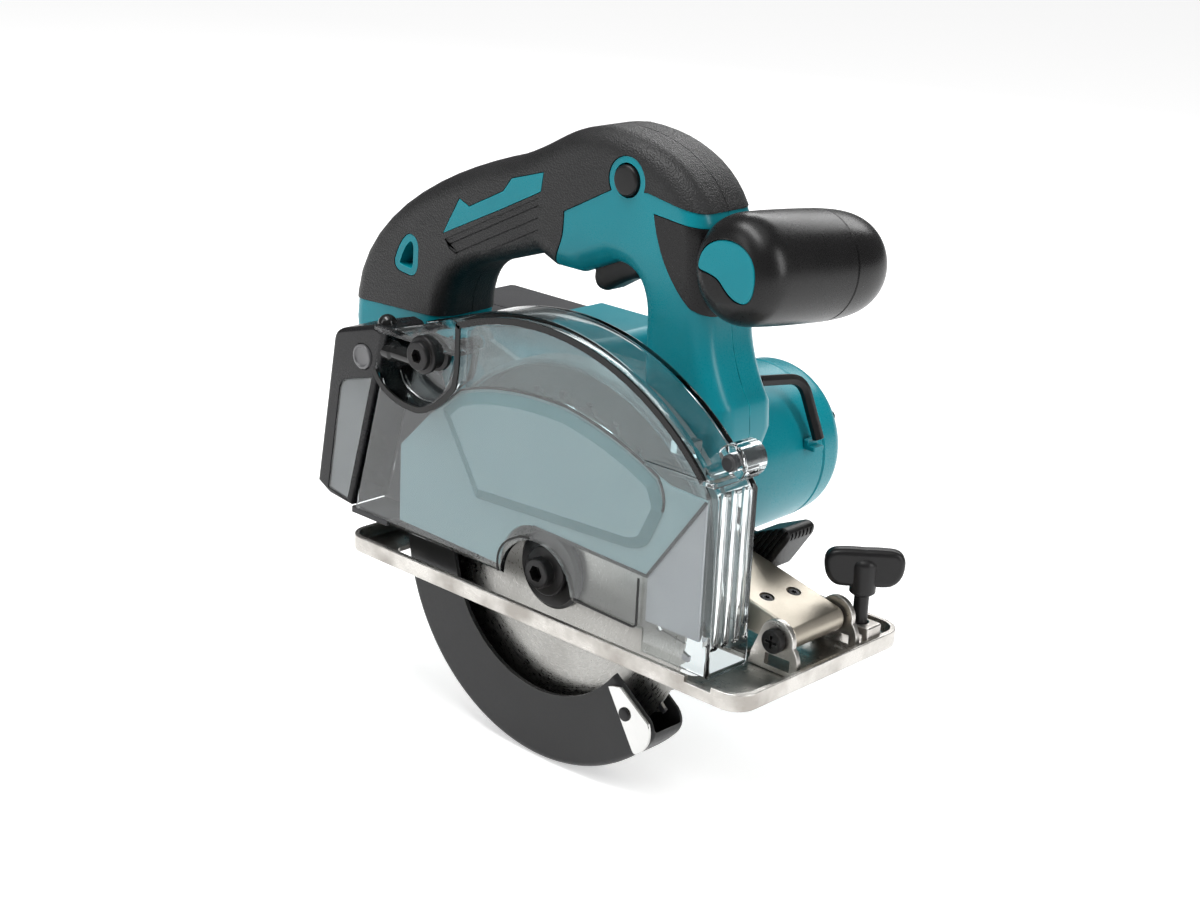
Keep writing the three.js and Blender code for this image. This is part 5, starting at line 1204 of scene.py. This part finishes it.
guard_paint = finish("satin_black_paint", (0.013, 0.013, 0.0135), (0.02, 0.02, 0.021), (0.3, 0.46),
                     metal=0.0, cloud=20, grain=800, depth=0.02, wear_and_highlight=(0.12, 0.12, 0.12), edge=0.3)
dress(guard, guard_paint, 0.25, 34)
fit(guard, "guard", "black_steel", "lower_guard")
nose_low, nose_high = cad("guard_nose_plate")
nose_edge = trace((40.2, -18.4), (54.4, -41.2), ((55.6, -43), (57.4, -42)), ((61.5, -38.6), (62.8, -35)),
                  ((64.4, -29), (60.2, -23)), ((56, -17.6), (49, -16.6)), ((43, -16.4), (40.2, -18.4)),
                  steps=6)[:-1]
nose_edge = [Vector(p) for p in nose_edge if math.degrees(math.atan2(p[1] - SPINDLE[1], p[0])) < END - 0.2]
nose = plate("guard_nose_wear_plate", [nose_edge], nose_low.y, nose_high.y, 0.45, 0, steps=3)
carve(nose, disc("rivet_hole", 1.9, -50, -34, *RIVET, sides=20))
polished = finish("polished_steel", (0.62, 0.62, 0.61), (0.54, 0.54, 0.53), (0.14, 0.28), metal=1.0,
                  grain=700, depth=0.006, stretch=(1, 1, 9))
dress(nose, polished, 0.0, 34)
fit(nose, "guard", "bright_steel", "guard_nose_plate")
rivet_low, rivet_high = cad("guard_rivet")
rivet = lathe("guard_nose_rivet", trace((0, rivet_low.y), (1.8, rivet_low.y + 0.05),
                                        ((2.9, rivet_low.y + 0.2), (2.9, rivet_low.y + 0.8)),
                                        (1.6, rivet_low.y + 0.8), (1.6, rivet_high.y), (0, rivet_high.y),
                                        steps=5), 32)
moved(rivet, (RIVET[0], 0, RIVET[1]))
dress(rivet, black_steel, 0.0, 34)
fit(rivet, "guard", "black_steel", "guard_rivet")

# ==== Base plate ============================================================================
# The sole is one sheet of nickel-finished steel with its rim pressed up for stiffness. It
# has a long slot for the blade and guard, and its lip is scratched bright by use.

base_low, base_high = cad("base_plate")
SHEET = 2
LAID_FLAT = turned(-90, "X")


def plan_plate(name, loops, low, high, top_round=0.0, low_round=0.0, inset=0.0, steps=4):
    """A plan-view outline (x, y) with its holes, from one height to another."""
    piece = plate(name, loops, -high, -low, top_round, low_round, inset, steps)
    piece.data.transform(LAID_FLAT)
    return piece


sole_edge = rounded_box_edge(base_low.x, base_high.x, base_low.y, base_high.y, 10, 10)
sole = plan_plate("sole_plate", [sole_edge], 0, base_high.z, 0.5, 1.6, steps=4)
dish = plan_plate("dish", [sole_edge], SHEET, base_high.z + 2, 0, 1.2, SHEET, steps=4)
carve(sole, dish)
sole_slot = plan_plate("sole_slot", [rounded_box_edge(-86, 86, -40, -9, 4)], -2, SHEET + 1)
rear_notch = brick("rear_notch", base_low.x - 1, base_low.x + 4, -12.9, -9.9, SHEET + 0.01, 9)
side_notch = brick("side_notch", 90, 103, base_low.y - 1, base_low.y + 3, 5.4, 9)
carve(sole, sole_slot, rear_notch, side_notch)
bead = plan_plate("bead", [rounded_box_edge(70, 84, -8, 44, 3)], SHEET - 0.3, SHEET + 0.9, 0.7)
pad_edge = trace((84, 30), (86, 30), ((93, 31), (94, 38)), ((95, 42), (101, 42)), (112, 42), (112, 47),
                 (84, 47), steps=5)
pad = plan_plate("pad", [pad_edge], SHEET - 0.3, SHEET + 1.1, 0.8)
near_pad = plan_plate("near_pad", [rounded_box_edge(92, 112, -46, -22, 4)], SHEET - 0.3, SHEET + 0.9, 0.7)
carve(sole, bead, pad, near_pad, how="UNION")
nickel = finish("satin_nickel", (0.56, 0.54, 0.51), (0.33, 0.31, 0.285), (0.24, 0.46), metal=1.0, cloud=65,
                grain=420, depth=0.02, stretch=(1, 9, 9), wear_and_highlight=(0.86, 0.85, 0.83), edge=1.0)
dress(sole, nickel, 0.25, 34)
fit(sole, "base", "satin_alloy", "base_plate")

# ==== Hinge: bracket, pin and arm ===========================================================
# A pressed bracket stands on the sole. A pin through its ears carries the cast arm that comes
# down from the gear case, with two recessed screws in its top.

bracket_low, bracket_high = cad("pivot_bracket")
PIVOT = (103, 15.8)
foot_z = bracket_low.z
ear_edge = trace((90, foot_z), (114, foot_z), (113.5, 9), ((113.2, 12), (111, 14.5)))
ear_edge += arc(*PIVOT, 8, -5, 150, 20) + trace((93.5, 14), ((92, 10), (91, 8)))
bracket = plate("hinge_bracket", [ear_edge], bracket_low.y, bracket_low.y + 2.5, 0.4, 0.4, steps=2)
carve(bracket, plate("far_ear", [ear_edge], bracket_high.y - 2.5, bracket_high.y, 0.4, 0.4, steps=2),
      brick("foot", 90, 114, bracket_low.y + 0.2, bracket_high.y - 0.2, foot_z, foot_z + 2), how="UNION")
carve(bracket, brick("rule_slot", 98, 110, bracket_low.y - 1, bracket_high.y + 1, foot_z + 2.1, 9.2),
      disc("pin_bore", 3.3, bracket_low.y - 1, bracket_high.y + 1, *PIVOT, sides=32))
dress(bracket, nickel, 0.3, 34)
fit(bracket, "base", "satin_alloy", "pivot_bracket")
pivot_low, pivot_high = cad("pivot_pin")
pivot_curve = trace((0, pivot_low.y), (4, pivot_low.y), ((4.8, pivot_low.y), (4.8, pivot_low.y + 0.8)),
                    (4.8, pivot_low.y + 3.2), (3, pivot_low.y + 3.2), (3, pivot_high.y - 0.5),
                    (2.5, pivot_high.y), (0, pivot_high.y), steps=4)
pivot_pin = lathe("hinge_pin", pivot_curve, 40)
cross = [(-2.6, -0.55), (-0.55, -0.55), (-0.55, -2.6), (0.55, -2.6), (0.55, -0.55), (2.6, -0.55),
         (2.6, 0.55), (0.55, 0.55), (0.55, 2.6), (-0.55, 2.6), (-0.55, 0.55), (-2.6, 0.55)]
carve(pivot_pin, plate("cross", [cross], pivot_low.y - 1, pivot_low.y + 1.6))
moved(pivot_pin, (PIVOT[0], 0, PIVOT[1]))
dress(pivot_pin, black_steel, 0.15, 34)
fit(pivot_pin, "base", "black_steel", "pivot_pin")

arm_low, arm_high = cad("pivot_arm")
arm_edge = arc(*PIVOT, 5.6, -100, 58, 18) + trace((44, 35), ((40, 37), (34, 37)), (22.4, 37), (22.4, 14),
                                                  (70, 14), (88, 12.6), ((96, 11.8), (98, 11)), steps=5)
arm = plate("hinge_arm", [arm_edge], arm_low.y, arm_high.y, 1.2, 1.2, steps=4)
carve(arm, brick("relief", 30, 88, arm_low.y + 3.5, arm_high.y - 3.5, 0, 19, 0.5),
      disc("motor_space", MOTOR_SPACE, 10.5, 30, 0, MOTOR_Z, sides=96),
      disc("pin_bore", 3.3, -60, 60, *PIVOT, sides=32))
ARM_SLOPE = turned(13.3, "Y")
SEAT_DEPTH = 0.9
screw_seats, arm_heads = [], []
for x, y in ((87.0, -1.0), (89.5, 12.5)):
    top_z = 20.4 + (105.5 - x) * 0.237
    seat = disc("seat", 3.1, -1.1, 3, sides=24)
    screw_seats.append(moved(seat, (x, y, top_z), ARM_SLOPE @ turned(90, "X")))
    head = moved(screw("arm_screw", 2.7, True, 1.5, 1.5), (0, -0.8, 0))
    arm_heads.append(moved(head, (x, y, top_z - SEAT_DEPTH), ARM_SLOPE @ turned(-90, "X")))
carve(arm, *screw_seats)
champagne = finish("champagne_cast_alloy", (0.5, 0.46, 0.39), (0.44, 0.4, 0.335), (0.32, 0.46), metal=1.0,
                   cloud=30, grain=1300, depth=0.02, wear_and_highlight=(0.75, 0.73, 0.7), edge=0.5)
dress(arm, champagne, 0.35, 34)
fit(arm, "housing", "satin_alloy", "pivot_arm")
arm_screws = joined(*arm_heads)
arm_screws.name = "hinge_arm_screws"
dress(arm_screws, black_screw, 0.0, 34)
fit(arm_screws, "housing", "black_steel")

# ==== Depth guide and lever =================================================================
# At the rear a blackened quadrant with depth marks rises from the sole behind the blade case.
# A black lever on a bolt through its slot clamps it at the cutting depth.

guide_low, guide_high = cad("depth_guide")
QUADRANT = 206
top_angle = math.degrees(math.asin((guide_high.z - PIVOT[1]) / (QUADRANT + 6)))
end_angle = 180 - top_angle + 1.5
end_x, end_z = on_circle(PIVOT, QUADRANT, end_angle)
quadrant = (arc(*PIVOT, QUADRANT + 6, end_angle, 182.6, 30)
            + arc(*PIVOT, QUADRANT - 6, 182.6, end_angle, 30)[:-1]
            + arc(end_x, end_z, 6, end_angle - 180, end_angle - 360, 12)[:-1])
guide_far = guide_low.y + 2.3
guide = plate("depth_quadrant", [quadrant], guide_low.y, guide_far, 0.3, 0.3, steps=2)
carve(guide, brick("heel", -108, -97, guide_low.y, guide_far, foot_z, 8, 0.3),
      brick("foot", -102.5, -97, guide_low.y, 4, foot_z, foot_z + 2, 0.3), how="UNION")
slot_top = 180 - top_angle + 1.6
guide_slot = arc(*PIVOT, QUADRANT + 2.1, slot_top, 180.8, 30)
guide_slot += arc(*PIVOT, QUADRANT - 2.1, 180.8, slot_top, 30)
below = brick("below", -130, -90, -30, 10, -5, foot_z)
carve(guide, plate("slot", [guide_slot], -20, 0), below)
tick = plate("tick", [[(QUADRANT + 3.4, -0.2), (QUADRANT + 6.5, -0.2), (QUADRANT + 6.5, 0.2),
                       (QUADRANT + 3.4, 0.2)]], guide_low.y - 0.5, guide_low.y + 0.25)
ticks = ringed("ticks", tick, 9, 2, 181.5, PIVOT, nickel)
carve(guide, ticks)
dress(guide, black_steel, 0.15, 34)
fit(guide, "base", "black_steel", "depth_guide")
lever_low, lever_high = cad("depth_lever")
lever_x = PIVOT[0] - QUADRANT
lever_edge = trace((lever_x + 6, 12.8), ((lever_x + 7, 18), (lever_x + 5, 21)),
                   ((lever_x + 2, 23.4), (lever_x - 1, 23.2)), (lever_x - 36, 27.6),
                   ((lever_x - 42, 28), (lever_x - 41.6, 24)), ((lever_x - 41, 20), (lever_x - 36, 18.6)),
                   (lever_x - 4, 11.8), ((lever_x + 2, 10.4), (lever_x + 6, 12.8)), steps=6)[:-1]
lever = plate("depth_clamp_lever", [lever_edge], lever_low.y, guide_low.y - 0.3, 1.8, 0.8, steps=4)
carve(lever, disc("lever_bolt", 1.8, guide_low.y - 2, lever_high.y, lever_x, PIVOT[1], sides=24),
      how="UNION")
dress(lever, button_plastic, 0.0, 34)
fit(lever, "depth_lever", "black_plastic", "depth_lever")

# ==== Guide-rule clamp and wing screw =======================================================
# A folded strap at the front of the sole holds a guide rule. A black thumb screw with an oval
# wing clamps it.

WING_AXIS = (107.5, 33)
clamp_low, clamp_high = cad("rule_clamp")
strap = brick("rule_strap", clamp_low.x, clamp_high.x, clamp_low.y, clamp_high.y, foot_z, clamp_high.z)
carve(strap, brick("rule_space", 97, 112, clamp_low.y - 1, clamp_high.y + 1, 0, 9.2))
screw_hole = plan_plate("screw_hole", [arc(*WING_AXIS, 3.3, 0, 360, 32)[:-1]], 0, 20)
carve(strap, screw_hole)
dress(strap, nickel, 0.7, 34, 3)
fit(strap, "base", "satin_alloy", "rule_clamp")

WING_HEIGHT = 35
wing_edge = trace((0, 7.6), ((5, 7.9), (10, 7.6)), ((16, 7.2), (15.8, 1.5)), ((15.6, -5.5), (10.5, -7.6)),
                  ((5, -8.6), (0, -6.8)), ((-5, -8.6), (-10.5, -7.6)), ((-15.6, -5.5), (-15.8, 1.5)),
                  ((-16, 7.2), (-10, 7.6)), ((-5, 7.9), (0, 7.6)), steps=9)[:-1][::-1]
wing = plate("wing_screw", [wing_edge], -3.4, 3.4, 2.4, 2.4, steps=5)
moved(wing, (*WING_AXIS, WING_HEIGHT), turned(42, "Z"))
stem_curve = trace((0, 9.6), (2.4, 9.6), (3, 10.4), (3, 23), (4.6, 24), (5.2, 24.6), (5.6, 36),
                   ((5.4, 38.4), (3, 39)), (0, 39.2), steps=4)
stem = lathe("stem", stem_curve, 36)
moved(stem, (*WING_AXIS, 0), turned(90, "X"))
carve(wing, stem, how="UNION")
dress(wing, button_plastic, 0.2, 34)
fit(wing, "clamp_screw", "black_plastic", "clamp_screw")

# ==== Shaft lock ============================================================================
# A black ribbed thumb piece behind the arm is pressed to lock the spindle while the bolt is
# turned.

lock_edge = trace((53, 27), ((53.4, 24.6), (56, 23.6)), (62, 21.4), ((64.4, 20.8), (65.4, 22.4)),
                  (74.8, 36.6), ((76.4, 39), (75.8, 41)), ((74.6, 43), (71.6, 42.4)), (59, 37),
                  ((56.6, 36), (56, 34.4)), steps=5)
lock = plate("shaft_lock_thumb", [lock_edge], 24, 42, 1.6, 1.6, steps=4)
carve(lock, brick("stem", 42, 60, 28, 33, 30, 34, 0.4), how="UNION")
lock_groove = plate("groove", [[(62.2, 22.9), (63.1, 22.3), (75.6, 41.2), (74.4, 41.9)]], 22.5, 24.9)
lock_lines = rowed("grooves", lock_groove, 5, (-2.3, 0, 0.4), button_plastic)
end_groove = plate("groove", [[(63.6, 19.8), (77.6, 41), (76.4, 41.8), (62.6, 20.6)]], 26.4, 27.4)
end_lines = rowed("grooves", end_groove, 6, (0, 2.4, 0), button_plastic)
carve(lock, lock_lines, end_lines)
dress(lock, button_plastic, 0.2, 34)
fit(lock, "shaft_lock", "black_plastic", "shaft_lock")
